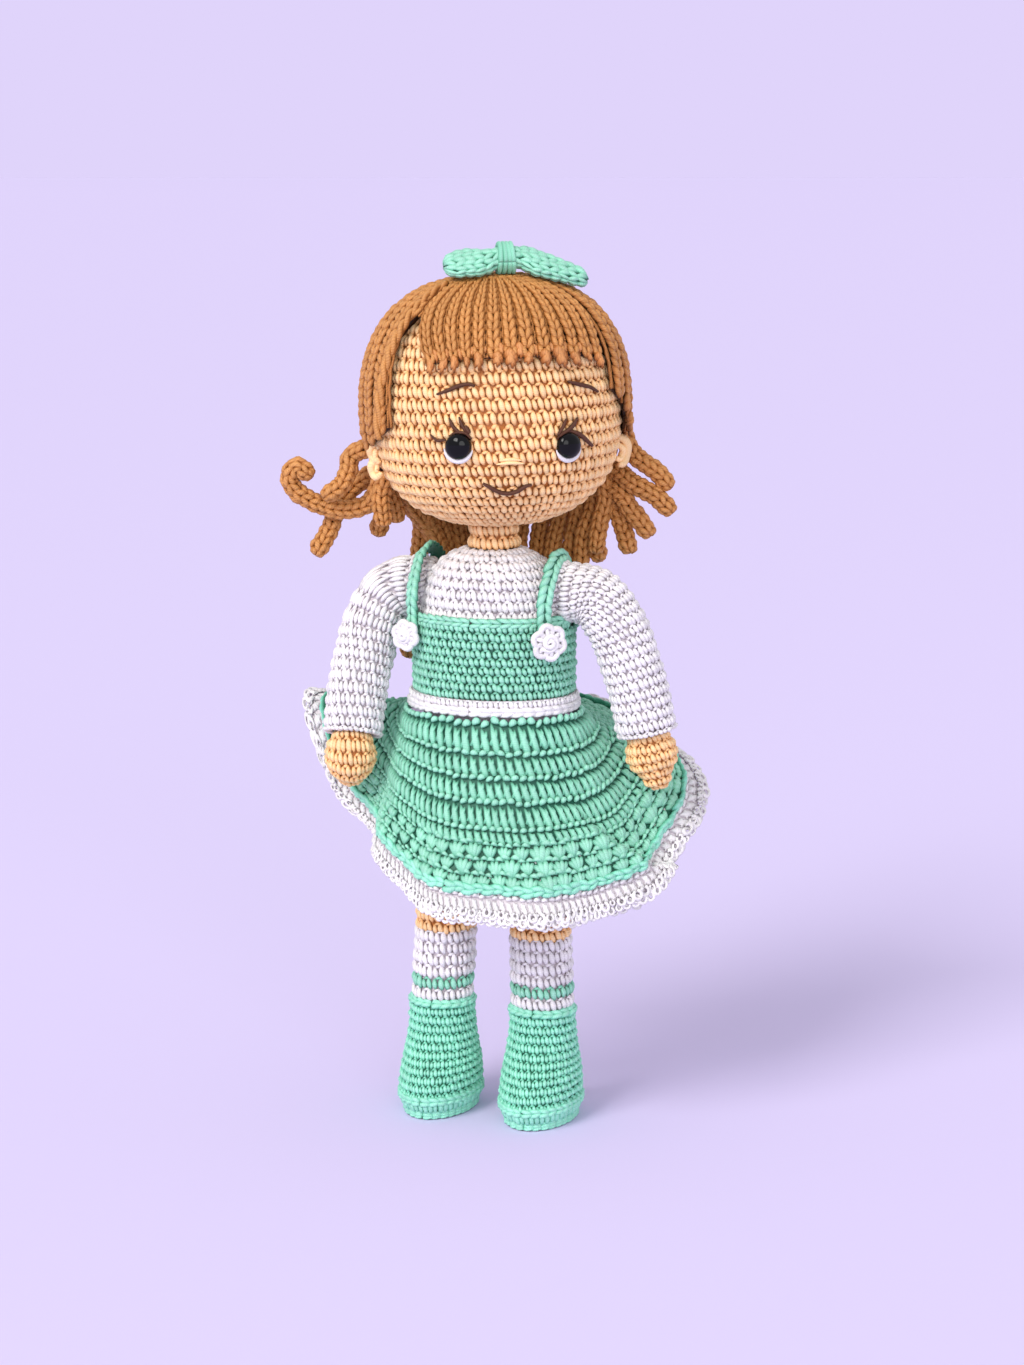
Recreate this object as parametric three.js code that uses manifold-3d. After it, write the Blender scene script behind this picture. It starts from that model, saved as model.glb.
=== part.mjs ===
// A crocheted doll, 30 cm tall, in a mint dress: millimetres, +Z up, facing -Y
// Every soft piece is a plain closed form of the size of the crocheted and stuffed piece

import * as THREE from 'three';
import { mergeVertices } from 'three/addons/utils/BufferGeometryUtils.js';
import Module from 'manifold-3d';

const wasm = await Module();
wasm.setup();

// Clearances
const fitGap = 0.3;
const clothGap = 0.4;
const layerGap = 0.6;
const jointGap = 0.6;
const mergeReach = 0.0005;
const cutOverrun = 5;

// Legs
const hipHeight = 104;
const hipSpread = 15.2;
const thighRadius = 9.8;
const ankleRadius = 8;
const sockRadius = 10.3;
const sockTopHeight = 63.2;
const leftFootOut = 17.4;
const rightFootOut = 18.9;

// Shoes
const shoeHeight = 38.6;
const shoeHalfWidth = 13.8;
const shoeToeLength = 22;
const shoeHeelLength = 16.5;
const soleThickness = 2.6;
const insoleThickness = 1;
const shoePadding = 6;

// Torso
const torsoHalfWidth = 25;
const torsoDepthShare = 0.84;
const torsoHeight = 85;
const torsoLift = 4.5;
const wallThickness = 2.8;
const shoulderDrop = 13.5;
const shoulderSpread = 25.5;
const bodyYaw = THREE.MathUtils.degToRad(-20);

// Neck and its dowel
const neckRadius = 8.2;
const neckWaistRadius = 7.5;
const neckLength = 8;
const neckInsert = 7.5;
const dowelRadius = 2.5;
const dowelInTorso = 43;
const dowelInHead = 36;

// Head
const skullHalfWidth = 40.5;
const skullDepthShare = 0.95;
const skullLowerHeight = 34.5;
const skullUpperHeight = 43;
const skullLowerPower = 2.35;
const skullUpperPower = 2.5;
const headShift = 1.8;
const headYaw = THREE.MathUtils.degToRad(7.5);
const headRoll = THREE.MathUtils.degToRad(-1.5);

// Face
const eyeRadius = 4.4;
const eyeDomeHeight = 3.4;
const eyeShankRadius = 1.5;
const eyeShankLength = 9;
const eyeSpread = 17.2;
const eyeLevel = 28.8;
const washerRadius = 5;
const washerThickness = 1.3;
const eyeWhiteRadius = 0.55;
const threadRadius = 0.6;
const lashReach = 6.4;
const browLevel = 46.3;
const browLength = 10.5;
const browRise = 2;
const noseLevel = 23.4;
const noseLength = 8.6;
const noseRadius = 1.7;
const noseShift = -1.4;
const mouthLevel = 16.8;
const mouthWidth = 14.3;
const mouthDip = 3.2;
const mouthShift = -2.1;
const earHeight = 12.5;
const earDepth = 7.5;
const earThickness = 6.5;
const earLevel = 24.5;

// Hair
const capThickness = 2;
const strandThickness = 3.6;
const strandRidge = 0.9;
const fringeStrands = 13;
const sideStrands = 4;
const lockRadius = 2.7;
const lockReach = 70;

// Bow
const bowLength = 49;
const bowBreadth = 15;
const bowThickness = 4;
const bowRise = 5;
const bowShift = 4.5;
const wrapLength = 5;
const wrapThickness = 1.4;
const wrapGap = 3.4;

// Arms
const sleeveRadius = 9.6;
const sleeveReach = 48;
const handRadius = 8.2;
const handLength = 19;

// Dress
const clothThickness = 2.2;
const bodiceHeight = 25;
const beltHeight = 4.2;
const beltThickness = 3.1;
const beltMiddle = 143.5;
const skirtReach = 70;
const skirtLowest = 78;
const skirtColumns = 40;
const skirtRows = 7;
const skirtSag = 3;
const foldDepth = 1.5;
const foldCount = 9;
const strapWidth = 4.8;
const strapThickness = 2.2;
const rosetteRadius = 5.6;
const rosetteThickness = 3;
const rosettePetals = 6;

// Heights that follow from these
const torsoBase = hipHeight + torsoLift;
const torsoTop = torsoBase + torsoHeight;
const shoulderHeight = torsoTop - shoulderDrop;
const skullBase = torsoTop + neckLength;
const beltBottom = beltMiddle - beltHeight / 2;
const beltTop = beltMiddle + beltHeight / 2;
const bodiceBottom = beltTop + fitGap;
const bodiceTop = bodiceBottom + bodiceHeight;
const skirtTop = beltBottom - clothThickness - fitGap;

const finishes = {
  skinYarn: { color: 0xf0bd88, roughness: 0.85, metalness: 0 },
  hairYarn: { color: 0xb87838, roughness: 0.8, metalness: 0 },
  mintYarn: { color: 0x74cfb0, roughness: 0.8, metalness: 0 },
  whiteYarn: { color: 0xf4eff2, roughness: 0.85, metalness: 0 },
  darkThread: { color: 0x3c1e10, roughness: 0.7, metalness: 0 },
  blackEye: { color: 0x08090b, roughness: 0.08, metalness: 0 },
  fibreFill: { color: 0xf6f4f0, roughness: 0.95, metalness: 0 },
  clearWasher: { color: 0xd8d8d6, roughness: 0.4, metalness: 0 },
  birchWood: { color: 0xd8b886, roughness: 0.6, metalness: 0 },
  insoleSheet: { color: 0xccc6b6, roughness: 0.7, metalness: 0 },
};

const doll = new THREE.Group();
const body = new THREE.Group();
body.rotation.z = bodyYaw;
doll.add(body);
const head = new THREE.Group();
head.position.set(headShift, 0, skullBase);
head.rotation.set(0, headRoll, headYaw);
doll.add(head);
doll.updateMatrixWorld(true);

function addPiece(parent, name, geometry, finish) {
  const mesh = new THREE.Mesh(geometry, new THREE.MeshStandardMaterial(finishes[finish]));
  mesh.name = name;
  parent.add(mesh);
  return mesh;
}

// Six times the volume that a mesh encloses, negative where its faces point in
function signedVolume(geometry) {
  const place = geometry.attributes.position;
  const index = geometry.index;
  const corners = [new THREE.Vector3(), new THREE.Vector3(), new THREE.Vector3()];
  let total = 0;
  for (let i = 0; i < index.count; i += 3) {
    corners.forEach((corner, k) => corner.fromBufferAttribute(place, index.getX(i + k)));
    total += corners[0].dot(corners[1].clone().cross(corners[2]));
  }
  return total;
}

// One closed mesh with merged corners and its faces pointing out
function closedMesh(geometry) {
  const bare = geometry.index ? geometry.toNonIndexed() : geometry.clone();
  bare.deleteAttribute('normal');
  bare.deleteAttribute('uv');
  const merged = mergeVertices(bare, mergeReach);
  const kept = [];
  for (let i = 0; i < merged.index.count; i += 3) {
    const [a, b, c] = [0, 1, 2].map((k) => merged.index.getX(i + k));
    if (a !== b && b !== c && c !== a) kept.push(a, b, c);
  }
  merged.setIndex(kept);
  if (signedVolume(merged) < 0) {
    merged.setIndex(kept.map((corner, i) => kept[i - (i % 3) + 2 - (i % 3)]));
  }
  return merged;
}

function solidOf(geometry) {
  const mesh = closedMesh(geometry);
  const vertProperties = Float32Array.from(mesh.attributes.position.array);
  const triVerts = Uint32Array.from(mesh.index.array);
  return new wasm.Manifold(new wasm.Mesh({ numProp: 3, vertProperties, triVerts }));
}

function geometryOf(solid) {
  const mesh = solid.getMesh();
  const geometry = new THREE.BufferGeometry();
  const places = new THREE.BufferAttribute(Float32Array.from(mesh.vertProperties), mesh.numProp);
  geometry.setAttribute('position', places);
  geometry.setIndex(Array.from(mesh.triVerts));
  return geometry;
}

function cut(geometry, tools) {
  return geometryOf(tools.reduce((solid, tool) => solid.subtract(solidOf(tool)), solidOf(geometry)));
}

function join(geometries) {
  return geometryOf(geometries.map(solidOf).reduce((whole, piece) => whole.add(piece)));
}

function meshOfTriangles(corners) {
  const geometry = new THREE.BufferGeometry();
  const places = corners.flatMap((corner) => [corner.x, corner.y, corner.z]);
  geometry.setAttribute('position', new THREE.Float32BufferAttribute(places, 3));
  return closedMesh(geometry);
}

function quad(corners, a, b, c, d) {
  corners.push(a, b, c, a, c, d);
}

// A closed form whose surface is place(around, along), with a pole at each end of along
function roundForm(place, around, along) {
  const corners = [];
  for (let i = 0; i < around; i += 1) {
    for (let j = 0; j < along; j += 1) {
      const [u, w] = [i / around, ((i + 1) % around) / around];
      const [v, x] = [j / along, (j + 1) / along];
      quad(corners, place(u, v), place(w, v), place(w, x), place(u, x));
    }
  }
  return meshOfTriangles(corners);
}

// A sheet with thickness between outer(around, along) and inner(around, along)
function thickSheet(outer, inner, around, along, goesRound) {
  const corners = [];
  for (let i = 0; i < around; i += 1) {
    const u = i / around;
    const w = goesRound ? ((i + 1) % around) / around : (i + 1) / around;
    for (let j = 0; j < along; j += 1) {
      const [v, x] = [j / along, (j + 1) / along];
      quad(corners, outer(u, v), outer(w, v), outer(w, x), outer(u, x));
      quad(corners, inner(w, v), inner(u, v), inner(u, x), inner(w, x));
    }
    quad(corners, inner(u, 0), inner(w, 0), outer(w, 0), outer(u, 0));
    quad(corners, outer(u, 1), outer(w, 1), inner(w, 1), inner(u, 1));
  }
  for (let j = 0; j < along && !goesRound; j += 1) {
    const [v, x] = [j / along, (j + 1) / along];
    quad(corners, outer(0, v), outer(0, x), inner(0, x), inner(0, v));
    quad(corners, inner(1, v), inner(1, x), outer(1, x), outer(1, v));
  }
  return meshOfTriangles(corners);
}

// A value read smoothly from evenly spaced shares, at t from 0 to 1
function readShares(shares, t) {
  const points = shares.map((share, i) => new THREE.Vector2(i / (shares.length - 1), share));
  return new THREE.SplineCurve(points).getPoint(t).y;
}

// Rings stacked on one another and closed by a fan at each end
function stackedRings(rings) {
  const corners = [];
  const sides = rings[0].length;
  for (let j = 0; j + 1 < rings.length; j += 1) {
    for (let i = 0; i < sides; i += 1) {
      const k = (i + 1) % sides;
      quad(corners, rings[j][i], rings[j][k], rings[j + 1][k], rings[j + 1][i]);
    }
  }
  for (const ring of [rings[0], rings[rings.length - 1]]) {
    const middle = ring.reduce((sum, point) => sum.add(point), new THREE.Vector3()).divideScalar(sides);
    for (let i = 0; i < sides; i += 1) {
      const pair = [ring[i], ring[(i + 1) % sides]];
      if (ring === rings[0]) pair.reverse();
      corners.push(middle, ...pair);
    }
  }
  return meshOfTriangles(corners);
}

// A soft limb or strand along a curve, its radius following shares, either end domed if asked
function sweptForm(points, radius, radiusShares, steps, sides, { domes = [false, false], up = null,
  flatShare = 1 } = {}) {
  const curve = new THREE.CatmullRomCurve3(points);
  const frames = curve.computeFrenetFrames(steps, false);
  const domeRings = 2;
  const rings = [];
  const addRing = (i, shift, ringRadius) => {
    const tangent = frames.tangents[i];
    const centre = curve.getPointAt(i / steps).addScaledVector(tangent, shift);
    const normal = up ? up(centre).projectOnPlane(tangent).normalize() : frames.normals[i];
    const side = tangent.clone().cross(normal);
    rings.push(Array.from({ length: sides }, (_, k) => {
      const turn = (k / sides) * 2 * Math.PI;
      const point = centre.clone().addScaledVector(side, ringRadius * Math.cos(turn));
      return point.addScaledVector(normal, ringRadius * flatShare * Math.sin(turn));
    }));
  };
  const addDome = (i, sign) => {
    const full = radius * radiusShares[sign < 0 ? 0 : radiusShares.length - 1];
    const turns = Array.from({ length: domeRings }, (_, k) => ((k + 1) / (domeRings + 0.5)) * Math.PI / 2);
    if (sign < 0) turns.reverse();
    turns.forEach((turn) => addRing(i, sign * full * Math.sin(turn), full * Math.cos(turn)));
  };
  if (domes[0]) addDome(0, -1);
  for (let i = 0; i <= steps; i += 1) addRing(i, 0, radius * readShares(radiusShares, i / steps));
  if (domes[1]) addDome(steps, 1);
  return stackedRings(rings);
}

// A turned form from radius and height pairs, flattened front to back
function turnedForm(profile, depthShare, sides) {
  const outline = profile.map(([radius, height]) => new THREE.Vector2(radius, height));
  const geometry = new THREE.LatheGeometry(outline, sides);
  geometry.rotateX(Math.PI / 2);
  geometry.scale(1, depthShare, 1);
  return closedMesh(geometry);
}

function turnedRing(innerRadius, outerRadius, bottom, top, depthShare, sides) {
  const corners = [[innerRadius, bottom], [outerRadius, bottom], [outerRadius, top], [innerRadius, top]];
  return turnedForm([...corners, corners[0]], depthShare, sides);
}

function ball(radius, centre) {
  const geometry = new THREE.SphereGeometry(radius, 16, 10);
  geometry.translate(centre.x, centre.y, centre.z);
  return geometry;
}

function rod(radius, bottom, top, sides = 16) {
  const geometry = new THREE.CylinderGeometry(radius, radius, top - bottom, sides);
  geometry.rotateX(Math.PI / 2);
  geometry.translate(0, 0, (top + bottom) / 2);
  return geometry;
}

const hands = [
  { name: 'left', sign: 1, footOut: leftFootOut },
  { name: 'right', sign: -1, footOut: rightFootOut },
];

// Torso

const torsoHeightShares = [0, 0.02, 0.07, 0.45, 0.74, 0.81, 0.875, 0.925, 0.96, 0.985, 1];
const torsoWidthShares = [0.88, 0.96, 1, 1, 0.985, 0.955, 0.89, 0.785, 0.655, 0.5, 0.34];

function torsoProfile(inset) {
  const last = torsoHeightShares.length - 1;
  const rows = torsoHeightShares.map((share, i) => {
    const height = THREE.MathUtils.lerp(torsoBase + inset, torsoTop - inset, share);
    return [torsoWidthShares[i] * torsoHalfWidth - inset * (i === last ? 0 : 1), height];
  });
  return [[0, rows[0][1]], ...rows, [0, rows[last][1]]];
}

function hipCentre(side) {
  return new THREE.Vector3(side.sign * hipSpread, 0, hipHeight);
}

function shoulderCentre(side) {
  return new THREE.Vector3(side.sign * shoulderSpread, 0, shoulderHeight);
}

function limbSockets(gap) {
  const hips = hands.map((side) => ball(thighRadius + gap, hipCentre(side)));
  const shoulders = hands.map((side) => ball(sleeveRadius + gap, shoulderCentre(side)));
  return [...hips, ...shoulders];
}

const dowelBottom = torsoTop - dowelInTorso;
const dowelTop = skullBase + dowelInHead;

function torsoShell() {
  const hollow = turnedForm(torsoProfile(wallThickness), torsoDepthShare, 16);
  const dowelHole = rod(dowelRadius + fitGap, torsoTop - wallThickness - cutOverrun, torsoTop + cutOverrun);
  const outside = turnedForm(torsoProfile(0), torsoDepthShare, 20);
  return cut(outside, [hollow, dowelHole, ...limbSockets(jointGap)]);
}

function torsoStuffing() {
  const dowelHole = rod(dowelRadius + fitGap, dowelBottom - fitGap, torsoTop + cutOverrun);
  const filling = turnedForm(torsoProfile(wallThickness + clothGap), torsoDepthShare, 16);
  return cut(filling, [dowelHole, ...limbSockets(jointGap + clothGap)]);
}

function neck() {
  const bottom = torsoTop + fitGap;
  const top = skullBase + neckInsert;
  const bore = dowelRadius + fitGap;
  const middle = (bottom + skullBase) / 2;
  return turnedForm([
    [bore, bottom], [neckRadius, bottom], [neckWaistRadius, middle], [neckRadius, skullBase],
    [neckRadius, top], [bore, top], [bore, bottom],
  ], 1, 20);
}

addPiece(body, 'torso_shell', torsoShell(), 'whiteYarn');
addPiece(body, 'torso_stuffing', torsoStuffing(), 'fibreFill');
addPiece(body, 'neck', neck(), 'skinYarn');
addPiece(body, 'neck_dowel', closedMesh(rod(dowelRadius, dowelBottom, dowelTop, 12)), 'birchWood');

// Head: around turns from the front towards +X, along runs from the crown down to the neck

function skullPoint(around, along, offset) {
  const angle = along * Math.PI;
  const upper = along < 0.5;
  const power = 2 / (upper ? skullUpperPower : skullLowerPower);
  const half = (upper ? skullUpperHeight : skullLowerHeight) + offset;
  const ring = Math.sin(angle) ** power;
  const rise = Math.abs(Math.cos(angle)) ** power * half * (upper ? 1 : -1);
  const turn = around * 2 * Math.PI;
  const width = (skullHalfWidth + offset) * ring;
  const depth = (skullHalfWidth * skullDepthShare + offset) * ring;
  const level = skullLowerHeight + rise;
  return new THREE.Vector3(width * Math.sin(turn), -depth * Math.cos(turn), level);
}

const skullColumns = 30;
const skullRows = 13;

function skullForm(offset, around = skullColumns, along = skullRows) {
  return roundForm((u, v) => skullPoint(u, v, offset), around, along);
}

// The share of the way down from the crown at which the skull has this level
function skullAlong(level) {
  const upper = level > skullLowerHeight;
  const half = upper ? skullUpperHeight : skullLowerHeight;
  const power = upper ? skullUpperPower : skullLowerPower;
  const height = THREE.MathUtils.clamp(Math.abs(level - skullLowerHeight) / half, 0, 1);
  const angle = Math.acos(height ** (power / 2));
  return (upper ? angle : Math.PI - angle) / Math.PI;
}

// The point of the face at this place across and this level, lifted off it by an offset
function facePoint(across, level, offset) {
  const along = skullAlong(level);
  const widest = skullPoint(0.25, along, offset).x;
  return skullPoint(Math.asin(across / widest) / (2 * Math.PI), along, offset);
}

function faceNormal(across, level) {
  const sideways = facePoint(across + fitGap, level, 0).sub(facePoint(across - fitGap, level, 0));
  const upwards = facePoint(across, level + fitGap, 0).sub(facePoint(across, level - fitGap, 0));
  return sideways.cross(upwards).normalize();
}

// A geometry made upright on its own origin, set on the face with +Z pointing out of it
function setOnFace(geometry, across, level, offset) {
  const normal = faceNormal(across, level);
  const turn = new THREE.Quaternion().setFromUnitVectors(new THREE.Vector3(0, 0, 1), normal);
  geometry.applyQuaternion(turn);
  const place = facePoint(across, level, 0).addScaledVector(normal, offset);
  geometry.translate(place.x, place.y, place.z);
  return geometry;
}

function eyePlaces() {
  return hands.map((side) => ({ ...side, across: side.sign * eyeSpread }));
}

function eyeForm() {
  const profile = [
    [0, -eyeShankLength], [eyeShankRadius, -eyeShankLength], [eyeShankRadius, 0], [eyeRadius, 0],
    ...[0.25, 0.55, 0.8].map((share) => [
      eyeRadius * Math.sqrt(1 - share ** 2), eyeDomeHeight * share ** 0.9,
    ]),
    [0, eyeDomeHeight],
  ];
  return turnedForm(profile, 1, 14);
}

const washerDepth = wallThickness + washerThickness + clothGap * 3;

function washerForm() {
  const hole = eyeShankRadius + fitGap;
  return turnedRing(hole, washerRadius, -washerDepth, washerThickness - washerDepth, 1, 14);
}

// The neck's space in the head's own frame
function neckSpace(radius, top) {
  const space = rod(radius, torsoTop, top, 24);
  space.applyMatrix4(head.matrixWorld.clone().invert());
  return space;
}

function headShell() {
  const shankHole = eyeShankRadius + fitGap;
  const holes = eyePlaces().map((eye) => (
    setOnFace(rod(shankHole, -wallThickness - cutOverrun, cutOverrun, 12), eye.across, eyeLevel, 0)));
  const neckHole = neckSpace(neckRadius + jointGap, skullBase + neckInsert + jointGap);
  return cut(skullForm(0), [skullForm(-wallThickness, 20, 10), neckHole, ...holes]);
}

function headStuffing() {
  const depth = Math.max(eyeShankLength, washerDepth) + clothGap;
  const eyeHoles = eyePlaces().map((eye) => (
    setOnFace(rod(washerRadius + clothGap, -depth, 0, 12), eye.across, eyeLevel, 0)));
  const neckHole = neckSpace(neckRadius + jointGap, skullBase + neckInsert + jointGap);
  const dowelHole = neckSpace(dowelRadius + jointGap, dowelTop + jointGap);
  return cut(skullForm(-wallThickness - clothGap, 20, 10), [neckHole, dowelHole, ...eyeHoles]);
}

// An arc of thread round an eye, its angles in turns from the outer corner over the top
function eyeArc(sign, radius, offset, from, to, thickness, steps) {
  const points = Array.from({ length: steps + 1 }, (_, i) => {
    const turn = THREE.MathUtils.lerp(from, to, i / steps) * 2 * Math.PI;
    return new THREE.Vector3(sign * radius * Math.cos(turn), radius * Math.sin(turn), offset);
  });
  return sweptForm(points, thickness, [0.5, 0.9, 1, 1, 0.9, 0.5], steps, 4);
}

// Lashes fan out from the upper outer rim of the eye, and a thin lid line carries them
const lashTurnShares = [0.02, 0.16, 0.25];

function lashes(sign) {
  const lidRadius = eyeRadius + threadRadius * 1.5;
  const lift = threadRadius + fitGap * 2;
  const spikes = lashTurnShares.map((share) => {
    const turn = share * 2 * Math.PI;
    const from = new THREE.Vector3(sign * Math.cos(turn), Math.sin(turn), 0);
    const lean = new THREE.Vector3(sign * threadRadius * 2, 0, 0);
    const root = from.clone().multiplyScalar(lidRadius).setZ(lift);
    const tip = from.clone().multiplyScalar(eyeRadius + lashReach * 0.75).add(lean).setZ(lift);
    const middle = root.clone().lerp(tip, 0.5);
    return sweptForm([root, middle, tip], threadRadius, [1, 0.9, 0.45], 2, 4);
  });
  const lid = eyeArc(sign, lidRadius, lift, -0.01, 0.3, threadRadius, 8);
  return join([lid, ...spikes]);
}

// Thread laid along the face: across and level pairs give its route
function faceThread(route, radius, radiusShares, steps, sides, domes = [false, false]) {
  const points = route.map(([across, level]) => facePoint(across, level, radius + fitGap));
  return sweptForm(points, radius, radiusShares, steps, sides, { domes });
}

function eyebrow(side) {
  const inner = eyeSpread - browLength * 0.2;
  const route = [0, 0.35, 0.7, 1].map((share) => [
    side.sign * (inner + browLength * share),
    browLevel + browRise * Math.sin(Math.PI * (0.25 + share * 0.6)) - browRise,
  ]);
  return faceThread(route, threadRadius, [0.6, 1, 0.9, 0.5], 7, 6);
}

function mouth() {
  const route = [-0.5, -0.25, 0, 0.25, 0.5].map((share) => [
    mouthShift + mouthWidth * share, mouthLevel + mouthDip * (2 * share) ** 2,
  ]);
  return faceThread(route, threadRadius, [0.7, 1, 1, 0.7], 10, 6);
}

function nose() {
  const route = [-0.5, 0, 0.5].map((share) => [noseShift + noseLength * share, noseLevel]);
  return faceThread(route, noseRadius, [0.75, 1, 0.75], 6, 8, [true, true]);
}

const earTurnShare = 0.232;

function ear(side) {
  const place = skullPoint(earTurnShare * side.sign, skullAlong(earLevel), earThickness * 0.2);
  const form = new THREE.SphereGeometry(1, 10, 8);
  form.scale(earThickness / 2, earDepth / 2, earHeight / 2);
  form.translate(place.x, place.y, place.z);
  return cut(form, [skullForm(fitGap)]);
}

addPiece(head, 'head_shell', headShell(), 'skinYarn');
addPiece(head, 'head_stuffing', headStuffing(), 'fibreFill');
for (const eye of eyePlaces()) {
  addPiece(head, `eye_${eye.name}`, setOnFace(eyeForm(), eye.across, eyeLevel, fitGap), 'blackEye');
  const washer = setOnFace(washerForm(), eye.across, eyeLevel, 0);
  addPiece(head, `eye_washer_${eye.name}`, washer, 'clearWasher');
  const rim = eyeArc(eye.sign, eyeRadius + eyeWhiteRadius + fitGap, eyeWhiteRadius + fitGap,
    -0.04, -0.42, eyeWhiteRadius, 10);
  addPiece(head, `eye_white_${eye.name}`, setOnFace(rim, eye.across, eyeLevel, 0), 'whiteYarn');
  addPiece(head, `lashes_${eye.name}`, setOnFace(lashes(eye.sign), eye.across, eyeLevel, 0),
    'darkThread');
  addPiece(head, `eyebrow_${eye.name}`, eyebrow(eye), 'darkThread');
  addPiece(head, `ear_${eye.name}`, ear(eye), 'skinYarn');
}
addPiece(head, 'nose', nose(), 'skinYarn');
addPiece(head, 'mouth', mouth(), 'darkThread');

// Hair: a cap over the crown and back, ribs of strands over it, and free locks

const capOuter = fitGap + capThickness;
const strandInner = capOuter + fitGap;
const strandOuter = strandInner + strandThickness;

// How far down the cap reaches, round from the face to the nape and back
const capEdgeShares = [0.26, 0.27, 0.31, 0.4, 0.5, 0.68, 0.76, 0.78, 0.79, 0.78, 0.76, 0.68, 0.5, 0.4,
  0.31, 0.27, 0.26];

function wigCap() {
  const sheet = (offset) => (u, v) => skullPoint(u, v * readShares(capEdgeShares, u), offset);
  const region = thickSheet(sheet(capOuter + cutOverrun), sheet(-cutOverrun), 24, 6, true);
  const outside = solidOf(skullForm(capOuter));
  return geometryOf(outside.intersect(solidOf(region)).subtract(solidOf(skullForm(fitGap))));
}

// A patch of strands side by side, from near the crown down to an edge
function strandPatch(from, to, topShare, edgeShares, strands, rows) {
  const stepsPerStrand = 3;
  const columns = strands * stepsPerStrand;
  const place = (offset, ridge) => (u, v) => {
    const along = THREE.MathUtils.lerp(topShare, readShares(edgeShares, u), v);
    const wave = Math.abs(Math.sin(Math.PI * u * strands)) - 1;
    const crown = THREE.MathUtils.clamp(v * 3, 0.35, 1);
    return skullPoint(THREE.MathUtils.lerp(from, to, u), along, offset + ridge * wave * crown);
  };
  const patch = thickSheet(place(strandOuter, strandRidge), place(0, 0), columns, rows, false);
  return cut(patch, [skullForm(strandInner)]);
}

// Turns round the head, from the front towards +X, at which the groups of strands start and stop
const fringeTurnShares = [-0.142, 0.147];
const leftSideTurnShares = [0.155, 0.285];
const rightSideTurnShares = [-0.285, -0.18];
const fringeTopShare = 0.035;
const fringeEdgeShares = [0.375, 0.365, 0.36, 0.36, 0.36, 0.365, 0.375];
const leftSideEdgeShares = [0.44, 0.47, 0.5, 0.52];
const rightSideEdgeShares = [0.52, 0.5, 0.47, 0.44];

const fringe = strandPatch(...fringeTurnShares, fringeTopShare, fringeEdgeShares, fringeStrands, 5);
addPiece(head, 'wig_cap', wigCap(), 'hairYarn');
addPiece(head, 'fringe', fringe, 'hairYarn');
addPiece(head, 'side_hair_left',
  strandPatch(...leftSideTurnShares, fringeTopShare, leftSideEdgeShares, sideStrands, 6), 'hairYarn');
addPiece(head, 'side_hair_right',
  strandPatch(...rightSideTurnShares, fringeTopShare, rightSideEdgeShares, sideStrands, 6), 'hairYarn');

// Where each free lock is sewn to the cap: shares of a turn and of the way down the skull
const lockRootShares = {
  lock_left_1: [0.285, 0.55],
  lock_left_2: [0.3, 0.63],
  lock_left_3: [0.322, 0.67],
  lock_left_4: [0.357, 0.695],
  lock_left_5: [0.392, 0.715],
  lock_right_1: [0.686, 0.66],
  lock_right_2: [0.662, 0.62],
  lock_right_3: [0.7, 0.56],
  lock_right_4: [0.648, 0.69],
  lock_back_1: [0.567, 0.72],
  lock_back_2: [0.458, 0.72],
};

// The rest of each lock: shares of the lock reach, from the neck's axis and the base of the skull
const lockRouteShares = {
  lock_left_1: [[0.67, 0.18, 0.3], [0.72, 0.16, 0.265], [0.77, 0.15, 0.23], [0.815, 0.14, 0.18]],
  lock_left_2: [[0.66, 0.15, 0.17], [0.71, 0.13, 0.145], [0.77, 0.12, 0.11], [0.82, 0.13, 0.06]],
  lock_left_3: [[0.62, 0.18, 0.1], [0.65, 0.17, 0.05], [0.69, 0.16, 0], [0.725, 0.16, -0.05]],
  lock_left_4: [[0.57, 0.28, 0.08], [0.6, 0.24, 0.01], [0.62, 0.21, -0.06], [0.64, 0.19, -0.13]],
  lock_left_5: [[0.41, 0.42, 0.08], [0.45, 0.37, 0], [0.48, 0.32, -0.09], [0.5, 0.28, -0.18]],
  lock_right_1: [[-0.6, 0.19, 0.07], [-0.7, 0.2, 0.04], [-0.82, 0.19, 0.06], [-0.93, 0.18, 0.12],
    [-0.975, 0.17, 0.19], [-0.94, 0.16, 0.25], [-0.895, 0.15, 0.225]],
  lock_right_2: [[-0.67, 0.31, 0.14], [-0.75, 0.3, 0.05], [-0.79, 0.28, -0.06], [-0.84, 0.25, -0.15]],
  lock_right_3: [[-0.68, 0.13, 0.3], [-0.69, 0.11, 0.24], [-0.72, 0.1, 0.17], [-0.775, 0.1, 0.13]],
  lock_right_4: [[-0.49, 0.35, 0.07], [-0.52, 0.35, 0.02], [-0.55, 0.34, -0.04], [-0.56, 0.33, -0.09]],
  lock_back_1: [[-0.33, 0.51, 0.03], [-0.37, 0.48, -0.25], [-0.4, 0.46, -0.5], [-0.42, 0.46, -0.68]],
  lock_back_2: [[0.1, 0.53, 0.03], [0.11, 0.49, -0.25], [0.12, 0.48, -0.5], [0.12, 0.48, -0.66]],
};

for (const [name, shares] of Object.entries(lockRouteShares)) {
  const root = skullPoint(...lockRootShares[name], capOuter + lockRadius).applyMatrix4(head.matrixWorld);
  const route = shares.map(([x, y, z]) => (
    new THREE.Vector3(x * lockReach, y * lockReach, skullBase + z * lockReach)));
  const steps = 2 * route.length + 1;
  const lock = sweptForm([root, ...route], lockRadius, [0.9, 1, 1, 1, 0.95], steps, 6,
    { domes: [true, true] });
  addPiece(doll, name, lock, 'hairYarn');
}

// Bow on the crown, tied round its middle

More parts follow.
